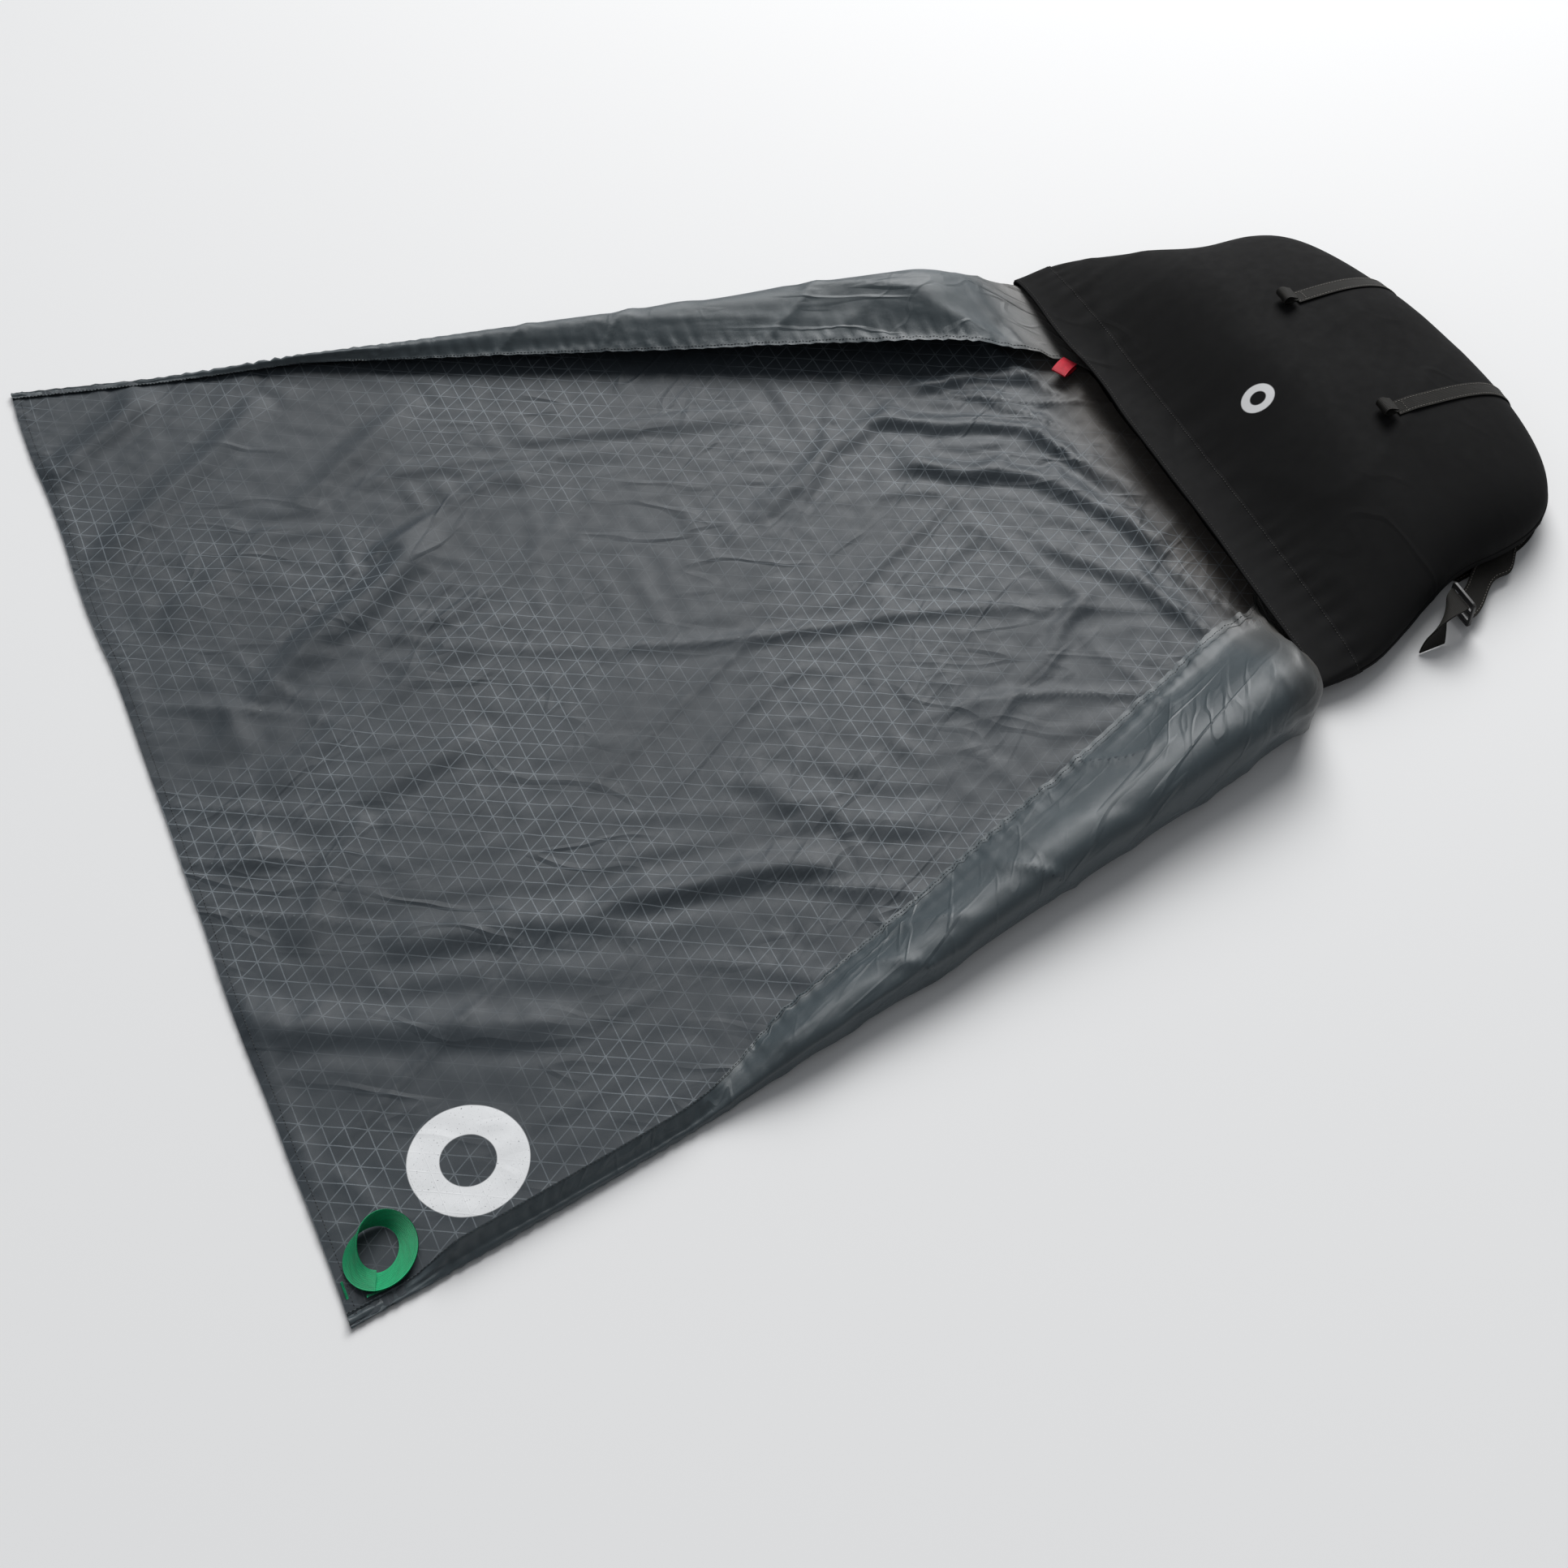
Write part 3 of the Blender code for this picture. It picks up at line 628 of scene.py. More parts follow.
def tarp_base(rows):
    """Points of the smooth tarp and their flat coordinates: near hem, near fold, floor, far fold, far hem."""
    points, flat = [], []
    for along in rows:
        wings = []
        for fold_y, shape, inward in ((near_fold_y, near_wing, 1.0), (far_fold_y, far_wing, -1.0)):
            line = wing_line(*(float(value) for value in shape(along)))
            wings.append(np.stack([fold_y(along) + inward * line[:, 0], line[:, 1]], axis=1))
        near = resample(wings[0][::-1], NEAR_COLUMNS)
        far = resample(wings[1], FAR_COLUMNS)
        floor = np.linspace(near[-1], far[0], FLOOR_COLUMNS)[1:-1]
        line = np.concatenate([near, floor, far])
        steps = np.linalg.norm(np.diff(line, axis=0, prepend=line[:1]), axis=1).cumsum()
        middle = np.argmin(np.abs(floor[:, 0])) + NEAR_COLUMNS
        points.append(np.column_stack([np.full(len(line), FAR_EDGE_X + along), line]))
        flat.append(np.column_stack([np.full(len(line), along), steps - steps[middle] + line[middle, 0]]))
    return np.array(points), np.array(flat)


def tarp_points():
    rows, split = tarp_rows()
    points, flat = tarp_base(rows)
    total = points.shape[1]
    column = np.arange(total)
    along = np.broadcast_to(rows[:, None], points.shape[:2])
    on_near = smoothstep((NEAR_COLUMNS + 6 - column) / 12.0)
    on_far = smoothstep((column - (total - FAR_COLUMNS - 6)) / 12.0)
    on_floor = 1.0 - np.maximum(on_near, on_far)
    normals = normals_of(points)
    across = flat[..., 1]
    relief = floor_relief(along, points[..., 1])
    edge = smoothstep(along / 0.010)
    relief = relief * (0.35 + 0.65 * edge)
    points[..., 0] += 0.0022 * noise(points[..., 1] * 9, along * 3, 55) * (1.0 - smoothstep(along / 0.15))
    points[..., 2] += 0.0008 + relief * on_floor
    puckers = []
    # the wings' crumples, larger where the wing is higher
    for on_wing, shape, hem_column, seed in ((on_near, near_wing, 0, 30), (on_far, far_wing, total - 1, 40)):
        height = np.asarray(shape(along)[1])
        size = np.clip(height / 0.045, 0.08, 1.2)
        lean = 0.95 if seed == 30 else -0.95
        crumple = 0.0022 * creases(along, across, lean, 0.036, 0.110, seed)
        crumple = crumple + 0.0026 * creases(along, across, lean * 0.12, 0.030, 0.300, seed + 2)
        crush = smoothstep((along - 0.83) / 0.05)
        crumple = crumple + 0.0040 * crush * creases(along, across, 1.35, 0.020, 0.070, seed + 6)
        from_hem = np.abs(flat[..., 1] - flat[:, hem_column:hem_column + 1, 1])
        pucker = edge_pucker(along, from_hem - 0.006, seed + 8, 0.0019, 0.014, 0.013)
        puckers.append(pucker * smoothstep(height / 0.008) * on_wing)
        points -= normals * ((crumple - 0.0022) * size * smoothstep(height / 0.02) * on_wing)[..., None]
    inside_mouth = smoothstep((along - 0.875) / 0.02)
    on_hems = (np.abs(column - total / 2) > total / 2 - 4) * np.ones_like(along)
    hold = np.maximum.reduce([0.45 * np.maximum(on_near, on_far) * smoothstep(along / 0.2),
                              0.30 * (1.0 - smoothstep(along / 0.03)), inside_mouth, 0.8 * on_hems,
                              np.full_like(along, 0.015)])
    points[..., 2] = np.maximum(points[..., 2], 0.0012)
    points = settle(points, hold)
    normals = normals_of(points)
    points += normals * (puckers[0] + puckers[1])[..., None]
    # puckers along the far edge
    pucker = edge_pucker(points[..., 1], along - 0.006, 60, 0.0012, 0.020, 0.016)
    points[..., 2] += (np.abs(pucker) + 0.3 * pucker) * on_floor
    points[..., 2] = np.maximum(points[..., 2], 0.0006)
    return points, flat, rows, split


def cubic(values, count, axis):
    """Resamples a grid along one axis with a smooth curve through its values."""
    values = np.moveaxis(values, axis, 0)
    last = len(values) - 1
    place = np.linspace(0.0, last, count)
    k = np.minimum(place.astype(int), last - 1)
    t = (place - k).reshape((-1,) + (1,) * (values.ndim - 1))
    before, a, b, after = (values[np.clip(k + step, 0, last)] for step in (-1, 0, 1, 2))
    made = 0.5 * (2 * a + (b - before) * t + (2 * before - 5 * a + 4 * b - after) * t ** 2
                  + (3 * a - before - 3 * b + after) * t ** 3)
    return np.moveaxis(made, 0, axis)


SETTLE_ROWS, SETTLE_COLUMNS = 96, 140
SETTLE_FRAMES = 22
LARGEST_SETTLING = 0.016     # no point moves further than this
CLOTH_SETTINGS = {
    "quality": 7, "mass": 0.08, "tension_stiffness": 20.0, "compression_stiffness": 20.0,
    "shear_stiffness": 6.0, "bending_stiffness": 6.0, "air_damping": 2.0, "vertex_group_mass": "hold",
    "pin_stiffness": 1.0, "shrink_min": -0.0025,     # a negative share to shrink by makes the cloth longer
}


def settle(points, hold):
    """Lets the tarp settle on the ground as cloth, so that its folds sag and buckle as real ones do.
    hold is 1 where the cloth keeps its place and 0 where it is free."""
    shape = points.shape[:2]
    start = cubic(cubic(points, SETTLE_ROWS, 0), SETTLE_COLUMNS, 1)
    weight = cubic(cubic(hold, SETTLE_ROWS, 0), SETTLE_COLUMNS, 1).clip(0.0, 1.0).ravel()
    index = np.arange(SETTLE_ROWS * SETTLE_COLUMNS).reshape(SETTLE_ROWS, SETTLE_COLUMNS)
    quads = np.stack([index[:-1, :-1], index[1:, :-1], index[1:, 1:], index[:-1, 1:]], axis=-1)
    mesh = bpy.data.meshes.new("settling_cloth")
    mesh.from_pydata(start.reshape(-1, 3).tolist(), [], quads.reshape(-1, 4).tolist())
    cloth = new_object("settling_cloth", mesh)
    ground = new_object("settling_ground", square("settling_ground", 2.0))
    ground.modifiers.new("collision", "COLLISION")
    ground.collision.thickness_outer = 0.001
    ground.collision.cloth_friction = 20.0
    group = cloth.vertex_groups.new(name="hold")
    for vertex, share in enumerate(weight):
        group.add([vertex], float(share), "REPLACE")
    physics = cloth.modifiers.new("cloth", "CLOTH")
    for setting, value in CLOTH_SETTINGS.items():
        setattr(physics.settings, setting, value)
    physics.collision_settings.distance_min = 0.001
    physics.collision_settings.collision_quality = 3
    scene = bpy.context.scene
    for number in range(1, SETTLE_FRAMES + 1):
        scene.frame_set(number)
    settled = cloth.evaluated_get(bpy.context.evaluated_depsgraph_get()).to_mesh()
    flat = np.zeros(len(settled.vertices) * 3)
    settled.vertices.foreach_get("co", flat)
    moved = flat.reshape(start.shape) - start
    scene.frame_set(1)
    for item in (cloth, ground):
        bpy.data.objects.remove(item)
    reach = np.linalg.norm(moved, axis=2, keepdims=True)
    moved = moved * np.minimum(1.0, LARGEST_SETTLING / np.maximum(reach, 1e-9))
    return points + cubic(cubic(moved, shape[0], 0), shape[1], 1)


def build_tarp():
    points, flat, rows, split = tarp_points()
    normals = normals_of(points)
    columns = points.shape[1]
    hems = {"near": (slice(0, HEM_COLUMNS), -2), "far": (slice(columns - HEM_COLUMNS, columns), 1)}
    for stretch, part, cads in (("outer", slice(0, split + 1), ("outer",)),
                                ("inner", slice(split, len(rows)), ("inner", "throat"))):
        made = [cloth_piece(f"tarp_cloth_{stretch}", points[part], CLOTH, (INSIDE, OUTSIDE), flat[part],
                            None, "tarp_inside", normals=normals[part])]
        for side, (hem, middle) in hems.items():
            # the doubled edge: a thicker fold of the same cloth that wraps the cut edge
            made.append(cloth_piece(f"{side}_hem_cloth_{stretch}", points[part, hem], HEM_THICKNESS,
                                    (OUTSIDE,), flat[part, hem], None, "tarp_outside",
                                    normals=normals[part, hem]))
            outward = -normals[part, hem][:, 1]
            line = points[part, hem][:, middle] + outward * HEM_THICKNESS / 2
            made.append(stitches(f"{side}_hem_stitches_{stretch}", line, outward, THREAD_DARK, None,
                                 "tarp_outside"))
        stands_for = ((made[0], ("tarp_floor", "near_wing", "far_wing")), (made[1], ("near_hem",)),
                      (made[3], ("far_hem",)))
        if stretch == "outer":
            made += far_edge_pieces(points, normals, flat)
        for piece in made:
            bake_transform(piece)
        for piece, names in stands_for:
            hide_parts(*(f"{name}_{cad}" for cad in cads for name in names))
    return points, normals


def far_edge_pieces(points, normals, flat):
    """The far edge's rolled hem with its row of stitches."""
    rows = slice(0, 3)
    inner = slice(HEM_COLUMNS + 2, points.shape[1] - HEM_COLUMNS - 2)
    hem = cloth_piece("far_edge_hem_cloth", points[rows, inner], HEM_THICKNESS, (INSIDE, OUTSIDE),
                      flat[rows, inner], None, "tarp_inside", "far_edge_hem", normals=normals[rows, inner])
    normal = normals[1, inner]
    line = lerp(points[1, inner], points[2, inner], 0.35) + normal * HEM_THICKNESS / 2
    return [hem, stitches("far_edge_stitches", line, normal, THREAD_DARK, None, "tarp_inside")]


# ---- sack ------------------------------------------------------------------------------------------
def taper(t):
    """Share of the mouth's half width left at t."""
    return (1.0 - 0.20 * smoothstep((t - 0.10) / 0.50)) * np.maximum(0.0, 1.0 - t ** 9) ** (1 / 2.2)


def taper_end(share):
    """The t at which taper() has fallen to share."""
    low, high = 0.5, 1.0
    for _ in range(40):
        middle = (low + high) / 2
        low, high = (middle, high) if taper(middle) > share else (low, middle)
    return low


def seam_height(t):
    return lerp(SEAM_HEIGHT_MOUTH, SEAM_HEIGHT_END, smoothstep(t / 0.5))


def sack_x(t, across, depth=SACK_DEPTH):
    """Place along X of a point of the sack at t and at the distance across from its centre line."""
    return MOUTH_X + depth * t - END_SKEW * across * t ** 3


def hood_height(t, across):
    """Height of the hood at t and at the distance across from the sack's centre line."""
    rise = lerp(HOOD_RISE_MOUTH, HOOD_RISE_PEAK, smoothstep(t / 0.45)) * np.maximum(0.0, 1.0 - t ** 7) ** 0.5
    edge = np.minimum(1.0, np.abs(across) / np.maximum(SACK_HALF_WIDTH * taper(t), 1e-6))
    return seam_height(t) + rise * (1.0 - edge ** 2.4) ** 0.5


def eased(u, start, stop):
    """Rows drawn together towards the closed end."""
    return lerp(start, stop, 1.0 - (1.0 - u) ** 1.6)


def hood_relief(t, x, y):
    """Sags and wrinkles of the hood, in metres, as a function of place."""
    sag = 0.0040 * noise(x * 6, y * 6, 70) + 0.0016 * noise(x * 13, y * 13, 71)
    wrinkle = 0.0016 * creases(x, y, 1.25, 0.060, 0.200, 72) + 0.0014 * creases(x, y, 0.35, 0.070, 0.190, 73)
    body = smoothstep(t / 0.12) * smoothstep((1.0 - t) / 0.06)
    seam = x - MOUTH_X - BAND_WIDTH
    gather = edge_pucker(y, seam, 75, 0.0010, 0.013, 0.020)
    lip = 0.0016 * noise(y * 14, y * 0 + 2.5, 76) * smoothstep(1.0 - t / 0.15)
    return (sag + wrinkle - 0.0015) * body + gather + lip


def hood_grid(t_values, columns):
    """Points of the hood at the given shares of its depth."""
    v = np.linspace(0.0, 1.0, columns)
    t = np.asarray(t_values)[:, None]
    across = SACK_HALF_WIDTH * taper(t) * np.sin(math.pi * (v - 0.5))
    y = SACK_CENTRE_Y + across
    x = sack_x(t, across) + 0.0030 * noise(y * 15, y * 0 + 4.5, 77) * smoothstep(1.0 - t / 0.11)
    z = hood_height(t, across)
    edge = smoothstep((1.0 - np.abs(2 * v - 1)) / 0.10)
    z = z + hood_relief(t, x, y) * (0.15 + 0.85 * edge)
    return np.stack([x, y, z], axis=2)


def build_hood():
    band_end = BAND_WIDTH / SACK_DEPTH
    columns = 150
    # the panel starts under the band
    t = eased(np.linspace(0.0, 1.0, 84), band_end - 0.008, LAST_ROW)
    panel = hood_grid(t, columns)
    cloth_piece("hood_cloth", panel, CLOTH, (HOOD,), panel[..., :2].copy(), "sack", "sack_cloth",
                "hood_panel")
    # the band: an under layer, the turned lip and the upper layer
    upper = hood_grid(np.linspace(0.0, band_end, 18), columns)
    normals = normals_of(upper)
    upper = upper + normals * 0.0009
    lower = hood_grid(np.linspace(0.010 / SACK_DEPTH, 0.001 / SACK_DEPTH, 4), columns) - normals[:4] * 0.0009
    lip = (upper[:1] + lower[-1:]) / 2 - np.array([0.0012, 0.0, 0.0])
    band_points = np.concatenate([lower, lip, upper])
    cloth_piece("mouth_band_cloth", band_points, CLOTH * 1.5, (LIP,), band_points[..., :2].copy(), "sack",
                "sack_cloth", "mouth_band")
    for name, row in (("band_stitches_rear", -2), ("band_stitches_lip", 6)):
        line = band_points[row] + normals[row if row < 0 else 2] * 0.0004
        stitches(name, line[2:-2], normals[row][2:-2], THREAD_BLACK, "sack", "sack_cloth", FINE)
    return panel


# ---- sack walls, base and seam ---------------------------------------------------------------------
def outline(t, side, inset=0.0):
    """A point of the sack's plan outline on the near (-1) or far (1) side."""
    across = side * (SACK_HALF_WIDTH - inset) * taper(t)
    return sack_x(t, across, SACK_DEPTH - inset), SACK_CENTRE_Y + across


def round_the_sack(u, start=0.0):
    """Walks the outline from the near mouth corner round the closed end to the far one."""
    if u < 0.5:
        return eased(2.0 * u, start, LAST_ROW), -1
    return eased(2.0 - 2.0 * u, start, LAST_ROW), 1


def gusset_point(t, side, v, out=0.0):
    """A point on the side wall, v = 0 at the base and 1 at the seam."""
    low, high = outline(t, side, BASE_INSET - out), outline(t, side, -out)
    bulge = math.sin(math.pi * v) * 0.004
    share = math.sin(v * math.pi / 2)
    x = lerp(low[0], high[0], share) + bulge * t
    y = lerp(low[1], high[1], share) + bulge * side * (1.0 - t ** 3)
    return (x, y, lerp(0.0030, seam_height(t) - 0.0012, v))


def gusset_end(across, v):
    """The t at which the side wall crosses the line at the distance across."""
    inset = BASE_INSET * (1.0 - math.sin(v * math.pi / 2))
    return taper_end(abs(across) / (SACK_HALF_WIDTH - inset))


def wall_grid(walk, columns, rows=12):
    return np.array([[gusset_point(*walk(u), v) for v in np.linspace(0.0, 1.0, rows)]
                     for u in np.linspace(0.0, 1.0, columns)])


def build_walls():
    band_end = BAND_WIDTH / SACK_DEPTH
    facing_end = band_end + 0.012
    walks = (
        ("side_gusset", "gusset_cloth", lambda u: round_the_sack(u, band_end), 190, 0.0),
        ("gusset_facing_near", "facing_cloth_near", lambda u: (lerp(0.0, facing_end, u), -1), 16, 0.0006),
        ("gusset_facing_far", "facing_cloth_far", lambda u: (lerp(facing_end, 0.0, u), 1), 16, 0.0006),
    )
    for node, name, walk, columns, proud in walks:
        points = wall_grid(walk, columns)
        normals = normals_of(points)
        flat = flat_of(points)
        drape = 0.0012 * noise(flat[..., 0] * 30, flat[..., 1] * 40, 80) + 0.0009 * creases(
            flat[..., 0], flat[..., 1], 1.1, 0.020, 0.050, 81)
        middle = np.sin(np.linspace(0.0, math.pi, points.shape[1]))
        points = points + normals * (drape * middle + proud)[..., None]
        cloth_piece(name, points, CLOTH, (LIP if proud else SACK,), flat, "sack", "sack_cloth", node)
    seam = [gusset_point(*round_the_sack(u), 1.0) for u in np.linspace(0.0, 1.0, 170)]
    tube("side_seam_piping", seam, 0.0012, SACK, "sack", "sack_cloth")


def build_base():
    """The underside, flat on the ground, with a shallow quilt of its own creases."""
    rows = []
    for u in np.linspace(0.0, 1.0, 60):
        t = eased(u, 0.0, LAST_ROW)
        near, far = outline(t, -1, BASE_INSET + 0.001), outline(t, 1, BASE_INSET + 0.001)
        rows.append([(lerp(near[0], far[0], v), lerp(near[1], far[1], v), 0.0)
                     for v in np.linspace(0.0, 1.0, 70)])
    points = np.array(rows)
    points[..., 2] = 0.0009 + 0.0007 * creases(points[..., 0], points[..., 1], 0.4, 0.05, 0.14, 90)
    cloth_piece("base_cloth", points, CLOTH, (SACK,), points[..., :2].copy(), "sack", "sack_cloth",
                "base_panel")


def tube(name, points, radius, material, body, slot, *nodes):
    """A round cord through the points."""
    curve = bpy.data.curves.new(name, "CURVE")
    curve.dimensions = "3D"
    spline = curve.splines.new("POLY")
    spline.points.add(len(points) - 1)
    for target, point in zip(spline.points, points):
        target.co = (*point, 1.0)
    curve.bevel_depth = radius
    curve.bevel_resolution = 3
    curve.use_fill_caps = True
    spline.use_smooth = True
    curve.materials.append(material)
    return new_object(name, curve, body, slot, *nodes)


# ---- webbing ---------------------------------------------------------------------------------------
def webbing_grid(centre, width_way, width, columns=7):
    """A ribbon about a centre line, with its width direction at each point."""
    spread = (np.linspace(0.0, 1.0, columns) - 0.5) * width
    return centre[:, None, :] + unit(width_way)[:, None, :] * spread[:, None]


def webbing_piece(name, points, thickness, material, body, *nodes, normals=None, slot="webbing_black"):
    """A ribbon of webbing from a grid whose columns run across it."""
    cloth_piece(name, points, thickness, (material,), flat_of(points), body, slot, *nodes, normals=normals)


def edge_stitches(name, points, normals, inset, thickness, size):
    """A row of stitches near each edge of a ribbon on the sack."""
    width = np.linalg.norm(points[0, -1] - points[0, 0])
    for label, share in (("a", inset / width), ("b", 1.0 - inset / width)):
        column = share * (points.shape[1] - 1)
        low = int(column)
        line = lerp(points[:, low], points[:, min(low + 1, points.shape[1] - 1)], column - low)
        normal = normals[:, low]
        stitches(f"{name}_{label}", line + normal * thickness / 2, normal, THREAD_PALE, "sack",
                 "webbing_black", size)


STRIP_START = 0.590
STRIP_SPACING = 0.156        # from the middle of one strip to the middle of the other
STRIP_THICKNESS = 0.0014


def strip_grid(centre_y):
    """Over the hood, round the closed end and down to the base."""
    rows = []
    spread = centre_y + np.linspace(-0.5, 0.5, 7) * NARROW_WEBBING
    middle_y = np.float64(SACK_CENTRE_Y + centre_y)
    for u in np.linspace(0.0, 1.0, 60):
        row = []
        for across in spread:
            last = taper_end(abs(across) / SACK_HALF_WIDTH) - 0.004
            t = lerp(STRIP_START, last, 1.0 - (1.0 - u) ** 1.5)
            x, y = sack_x(t, across), SACK_CENTRE_Y + across
            z = hood_height(t, across) + float(hood_relief(t, np.float64(x), middle_y)) + 0.0012
            row.append((x, y, z))
        rows.append(row)
    for u in np.linspace(0.0, 1.0, 18)[1:]:
        row = []
        share = lerp(1.0, 0.12, u)
        for across in spread:
            wall = gusset_point(gusset_end(across, share), math.copysign(1, across), share)
            row.append((wall[0] + lerp(0.0030, 0.0012, u), SACK_CENTRE_Y + across, wall[2]))
        rows.append(row)
    return np.array(rows)


def build_strips():
    for side, sign in (("near", -1), ("far", 1)):
        points = strip_grid(sign * STRIP_SPACING / 2)
        normals = normals_of(points)
        webbing_piece(f"strip_webbing_{side}", points, STRIP_THICKNESS, BLACK_NARROW, "sack",
                      f"webbing_strip_{side}", normals=normals)
        edge_stitches(f"strip_stitches_{side}", points, normals, 0.0016, STRIP_THICKNESS, FINE)
        # a cross row of stitches at the free end, and the folded loop in front of it
        stitches(f"strip_end_stitches_{side}", points[3] + normals[3] * STRIP_THICKNESS / 2, normals[3],
                 THREAD_PALE, "sack", "webbing_black", (0.0026, 0.60, 0.00022))
        low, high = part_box(f"strip_loop_{side}")
        radius = (high.z - low.z) / 2 - STRIP_THICKNESS / 2
        root_x, middle_z = high.x, (low.z + high.z) / 2
        reach = (high.x - low.x) - radius
        angle = np.linspace(0.0, math.pi, 22)
        x = np.concatenate([np.linspace(root_x - 0.0005, root_x - reach, 10)[:-1],
                            root_x - reach - (radius - STRIP_THICKNESS / 2) * np.sin(angle),
                            np.linspace(root_x - reach, root_x - 0.0015, 10)[1:]])
        z = np.concatenate([np.full(9, middle_z - radius), middle_z - radius * np.cos(angle),
                            np.full(9, middle_z + radius)])
        pinch = smoothstep((x - (root_x - reach)) / reach)
        z = lerp(z, low.z + STRIP_THICKNESS * 1.2, 0.75 * pinch * (np.arange(len(z)) > 30))
        centre = np.stack([x, np.full(len(x), (low.y + high.y) / 2), z], axis=1)
        way = np.tile([0.0, 1.0, 0.0], (len(x), 1))
        webbing_piece(f"strip_end_loop_{side}", webbing_grid(centre, way, NARROW_WEBBING),
                      STRIP_THICKNESS * 0.9, BLACK_NARROW, f"loop_{side}", f"strip_loop_{side}")


def ground_grid(walk, columns):
    """Webbing lying beside the base."""
    rows = []
    for u in np.linspace(0.0, 1.0, columns):
        t, side = walk(u)
        inner, outer = (outline(t, side, BASE_INSET - 0.0015 - w) for w in (0.0, STRAP_WEBBING))
        rows.append([(lerp(outer[0], inner[0], v), lerp(outer[1], inner[1], v), 0.0010)
                     for v in np.linspace(0.0, 1.0, 7)])
    return np.array(rows)


def build_strap():
    start = 0.560
    points = ground_grid(lambda u: round_the_sack(u, start), 150)
    run = np.linspace(0.0, 1.0, len(points))
    points[..., 2] += (0.0012 + 0.0012 * np.sin(run * 23.0))[:, None] * np.linspace(1.0, 0.0, 7)
    points[..., 2] = np.maximum(points[..., 2], 0.0009)
    normals = normals_of(points)
    webbing_piece("strap_webbing", points, STRAP_THICKNESS, BLACK_WIDE, "sack", "shoulder_strap",
                  normals=normals)
    edge_stitches("strap_stitches", points, normals, 0.0022, STRAP_THICKNESS, BROAD)
    sewn = ground_grid(lambda u: (lerp(start - 0.004, start - 0.12, u), 1), 14)
    webbing_piece("strap_sewn_end", sewn, STRAP_THICKNESS, BLACK_WIDE, "sack", "strap_anchor_far")


def catmull(route, count):
    """count points on a smooth curve through the route."""
    route = np.array(route, float)
    padded = np.concatenate([route[:1], route, route[-1:]])
    u = np.linspace(0.0, len(route) - 1, count)
    k = np.minimum(u.astype(int), len(route) - 2)
    t = (u - k)[:, None]
    p0, p1, p2, p3 = padded[k], padded[k + 1], padded[k + 2], padded[k + 3]
    return 0.5 * (2 * p1 + (p2 - p0) * t + (2 * p0 - 5 * p1 + 4 * p2 - p3) * t ** 2
                  + (3 * p1 - p0 - 3 * p2 + p3) * t ** 3)


BUCKLE_Y = -0.2915


def build_buckle():
    """Ladder lock, its sewn anchor and the free tail."""
    low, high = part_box("ladder_lock")
    centre = (low + high) / 2
    plate = rounded_plate("ladder_lock_frame", centre, (high.y - low.y), (high.z - low.z), 0.0028,
                          (0.0062, -0.0050), (0.0265, 0.0056))
    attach(plate, "buckle")
    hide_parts("ladder_lock")
    for name, height, radius in (("top", 0.0117, 0.0019), ("middle", 0.0006, 0.0018),
                                 ("bottom", -0.0112, 0.0019)):
        reach = (high.y - low.y) / 2 - 0.0016
        ends = [(centre.x, centre.y + side * reach, centre.z + height) for side in (-1.0, 1.0)]
        tube(f"ladder_lock_bar_{name}", ends, radius, NYLON, "buckle", "buckle_plastic")
    low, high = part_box("buckle_anchor")
    # the anchor runs in under the side seam and along it
    u = np.linspace(0.0, 1.0, 60)
    y = lerp(lerp(BUCKLE_Y, -0.2620, smoothstep(u / 0.55)), -0.2360, smoothstep((u - 0.62) / 0.38))
    z = 0.0120 - 0.0035 * smoothstep(u)
    line = np.stack([lerp(low.x, high.x + 0.055, u), y, z], axis=1)
    way = np.tile([0.0, 1.0, 0.12], (len(u), 1))
    points = webbing_grid(line, way, STRAP_WEBBING)
    normals = normals_of(points)
    webbing_piece("anchor_webbing", points, ANCHOR_THICKNESS, BLACK_WIDE, "sack", "buckle_anchor",
                  normals=normals)
    edge_stitches("anchor_stitches", points, normals, 0.0022, ANCHOR_THICKNESS, BROAD)
    start = np.array([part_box("strap_tail")[1].x, BUCKLE_Y, 0.0262])
    route = start + np.array([(0.0, 0.0, 0.0), (-0.014, -0.005, 0.0), (-0.028, -0.013, -0.012),
                              (-0.036, -0.020, -0.0248)])
    line = catmull(route, 40)
    u = np.linspace(0.0, 1.0, 40)
    turn = smoothstep(u) * math.pi / 2
    way = np.stack([np.sin(turn), np.cos(turn) * 0.94, -0.2 * np.sin(2 * turn)], axis=1)
    points = webbing_grid(line, way, STRAP_WEBBING * 0.98)
    points[..., 2] = np.maximum(points[..., 2], 0.0010)
    webbing_piece("tail_webbing", points, ANCHOR_THICKNESS, BLACK_WIDE, "tail", "strap_tail")


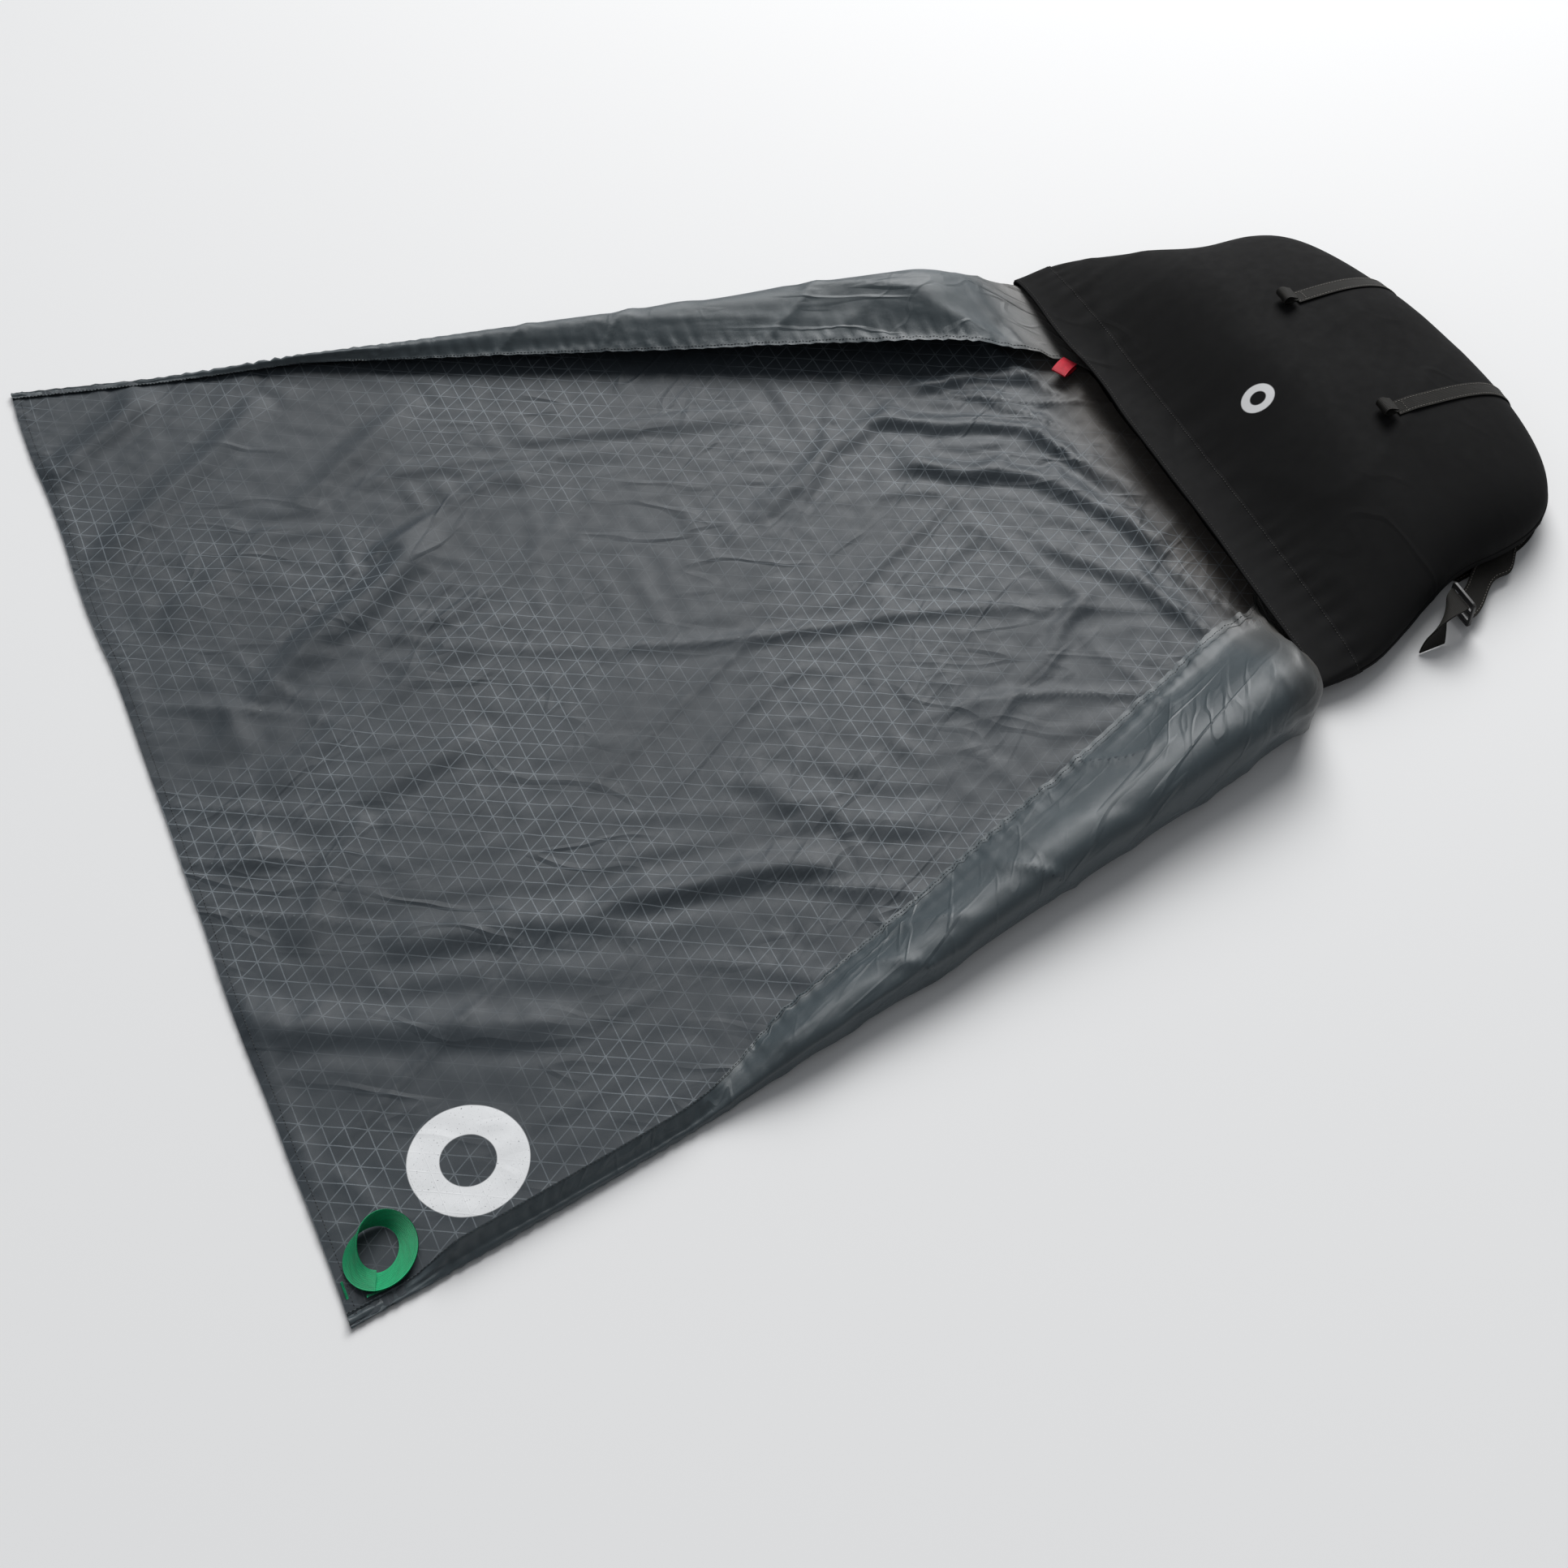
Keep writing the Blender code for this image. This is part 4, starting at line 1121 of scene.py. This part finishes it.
def rounded_plate(name, centre, width, height, thickness, slots, slot_size):
    """A plate facing X with rounded corners and slots at the given heights, from one filled outline."""
    curve = bpy.data.curves.new(name, "CURVE")
    curve.dimensions = "2D"
    curve.fill_mode = "BOTH"
    curve.extrude = thickness / 2 - 0.0005
    curve.bevel_depth = 0.0005
    curve.bevel_resolution = 2

    def rounded(middle, size, radius):
        spline = curve.splines.new("POLY")
        corners = []
        for sx, sy, begin in ((1, 1, 0), (-1, 1, 90), (-1, -1, 180), (1, -1, 270)):
            for step in range(7):
                angle = math.radians(begin + 90 * step / 6)
                corners.append((sx * (size[0] / 2 - radius) + radius * math.cos(angle),
                                middle + sy * (size[1] / 2 - radius) + radius * math.sin(angle)))
        spline.points.add(len(corners) - 1)
        for target, corner in zip(spline.points, corners):
            target.co = (*corner, 0.0, 1.0)
        spline.use_cyclic_u = True

    rounded(0.0, (width - 0.001, height - 0.001), 0.003)
    for middle in slots:
        rounded(middle, slot_size, 0.0012)
    curve.materials.append(NYLON)
    plate = new_object(name, curve)
    to_face_x = Matrix(((0, 0, 1, 0), (1, 0, 0, 0), (0, 1, 0, 0), (0, 0, 0, 1)))
    plate.matrix_world = Matrix.Translation(centre) @ to_face_x
    return plate


# ---- tie-in loops ----------------------------------------------------------------------------------
GREEN_PLACE = np.array([FAR_EDGE_X + 0.024, -0.478, 0.0140])
RED_PLACE = np.array([MOUTH_X - 0.0045, 0.112, 0.0130])


def ring_grid(base, toward, radii, lean, count=90):
    """A twisted webbing ring whose ends overlap at base. lean gives the tilt of the webbing round the ring:
    angles in degrees at even steps, 0 with its face up and 90 on its edge."""
    heading = unit(np.array([toward[0], toward[1], 0.0]))
    sideways = np.cross([0.0, 0.0, 1.0], heading)
    u = np.linspace(0.0, 1.0, count)
    angle = np.radians(lerp(-16.0, 376.0, u))
    out = radii[0] * (1.0 - np.cos(angle))
    side = -radii[1] * np.sin(angle)
    centre = base + heading * out[:, None] + sideways * side[:, None]
    radial = unit(heading * (-np.cos(angle))[:, None] + sideways * (-np.sin(angle))[:, None])
    tilt = np.radians(np.interp(u * (len(lean) - 1), np.arange(len(lean)), lean))
    tilt = np.convolve(np.pad(tilt, 8, mode="edge"), np.ones(17) / 17, mode="valid")
    way = radial * np.cos(tilt)[:, None] + np.array([0.0, 0.0, 1.0]) * np.sin(tilt)[:, None]
    return centre, way


def build_loops():
    centre, way = ring_grid(GREEN_PLACE + (-0.002, -0.002, 0.0), (0.62, 0.78), (0.0235, 0.0200),
                            (4, 14, 16, 20, 50, 96, 130, 160, 176))
    rise = np.abs(way[:, 2]) * NARROW_WEBBING / 2
    # the second end lies on the first
    centre[:, 2] = 0.0042 + rise + 0.0030 * smoothstep(np.linspace(-2.6, 1.0, len(rise)))
    points = webbing_grid(centre, way, NARROW_WEBBING)
    webbing_piece("green_loop_webbing", points, LOOP_THICKNESS, GREEN_WEBBING, "green_loop",
                  "green_tie_in_loop", slot="webbing_green")
    # the red loop is folded flat, with its tip just clear of the lip
    heading, sideways = unit(np.array([-0.90, -0.43, 0.0])), unit(np.array([0.43, -0.90, 0.0]))
    section = ((0.001, -0.0030), (0.010, -0.0035), (0.0190, -0.0005), (0.010, 0.0022), (0.001, 0.0012))
    centre = catmull([RED_PLACE + heading * out + (0.003, -0.002, up) for out, up in section], 50)
    points = webbing_grid(centre, np.tile(sideways, (50, 1)), NARROW_WEBBING)
    webbing_piece("red_loop_webbing", points, LOOP_THICKNESS, RED_WEBBING, "red_loop",
                  "red_tie_in_loop", slot="webbing_red")


def build_bar_tacks():
    """Dense zigzag stitches that hold the green loop in the corner."""
    for node in ("bar_tack_green_edge", "bar_tack_green_end"):
        low, high = (np.array(corner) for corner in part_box(node))
        long_way = int(np.argmax(high - low))
        u = np.linspace(0.0, 1.0, 42)
        line = np.tile((low + high) / 2, (len(u), 1))
        line[:, long_way] = lerp(low[long_way], high[long_way], u)
        line[:, 1 - long_way] += np.where(np.arange(len(u)) % 2, 0.0009, -0.0009)
        tube(node + "_thread", line, 0.00026, THREAD_GREEN, "tarp_outer", "webbing_green", node)


build_tarp()
build_hood()
build_walls()
build_base()
build_strips()
build_strap()
build_buckle()
build_loops()
build_bar_tacks()


# ---- camera, floor and light -----------------------------------------------------------------------
CAMERA_PLACE = (-0.57375, -1.2349, 1.5224)
CAMERA_DOWN = 53.8           # degrees below the horizon
CAMERA_HEADING = -22.755     # degrees from +Y, turned towards +X
CAMERA_ROLL = -2.02
LENS = 53.59


def build_camera():
    data = bpy.data.cameras.new("camera")
    data.lens = LENS
    data.sensor_width = 36.0
    camera = bpy.data.objects.new("camera", data)
    bpy.context.scene.collection.objects.link(camera)
    camera.matrix_world = (Matrix.Translation(CAMERA_PLACE)
                           @ Matrix.Rotation(math.radians(CAMERA_HEADING), 4, "Z")
                           @ Matrix.Rotation(math.radians(90.0 - CAMERA_DOWN), 4, "X")
                           @ Matrix.Rotation(math.radians(CAMERA_ROLL), 4, "Z"))
    bpy.context.scene.camera = camera


def new_light(name, kind, energy, toward, place=(0.0, 0.0, 0.0)):
    """A light that lies in the direction toward."""
    data = bpy.data.lights.new(name, kind)
    data.energy = energy
    light = bpy.data.objects.new(name, data)
    bpy.context.scene.collection.objects.link(light)
    light.location = place
    light.rotation_euler = Vector(toward).to_track_quat("Z", "Y").to_euler()
    return data


def build_stage():
    floor = new_object("floor", square("floor", 40.0))
    floor.location.z = -0.0004
    shader = Shader("floor", (0.86, 0.86, 0.86), 0.85, Specular_IOR_Level=0.1)
    floor.data.materials.append(shader.material)
    world = bpy.data.worlds.new("studio")
    world.use_nodes = True
    sky = world.node_tree.nodes["Background"].inputs
    sky["Color"].default_value = (0.93, 0.96, 1.0, 1.0)
    sky["Strength"].default_value = 0.24
    bpy.context.scene.world = world
    bpy.context.scene.view_settings.view_transform = "Standard"
    new_light("daylight", "SUN", 2.5, (0.55, 0.95, 0.90)).angle = math.radians(46.0)
    key_place, key_target = Vector((1.3, 1.5, 1.5)), Vector((0.2, 0.0, 0.0))
    key = new_light("key", "AREA", 22, key_place - key_target, key_place)
    key.shape = "RECTANGLE"
    key.size, key.size_y = 1.2, 0.8


build_camera()
build_stage()
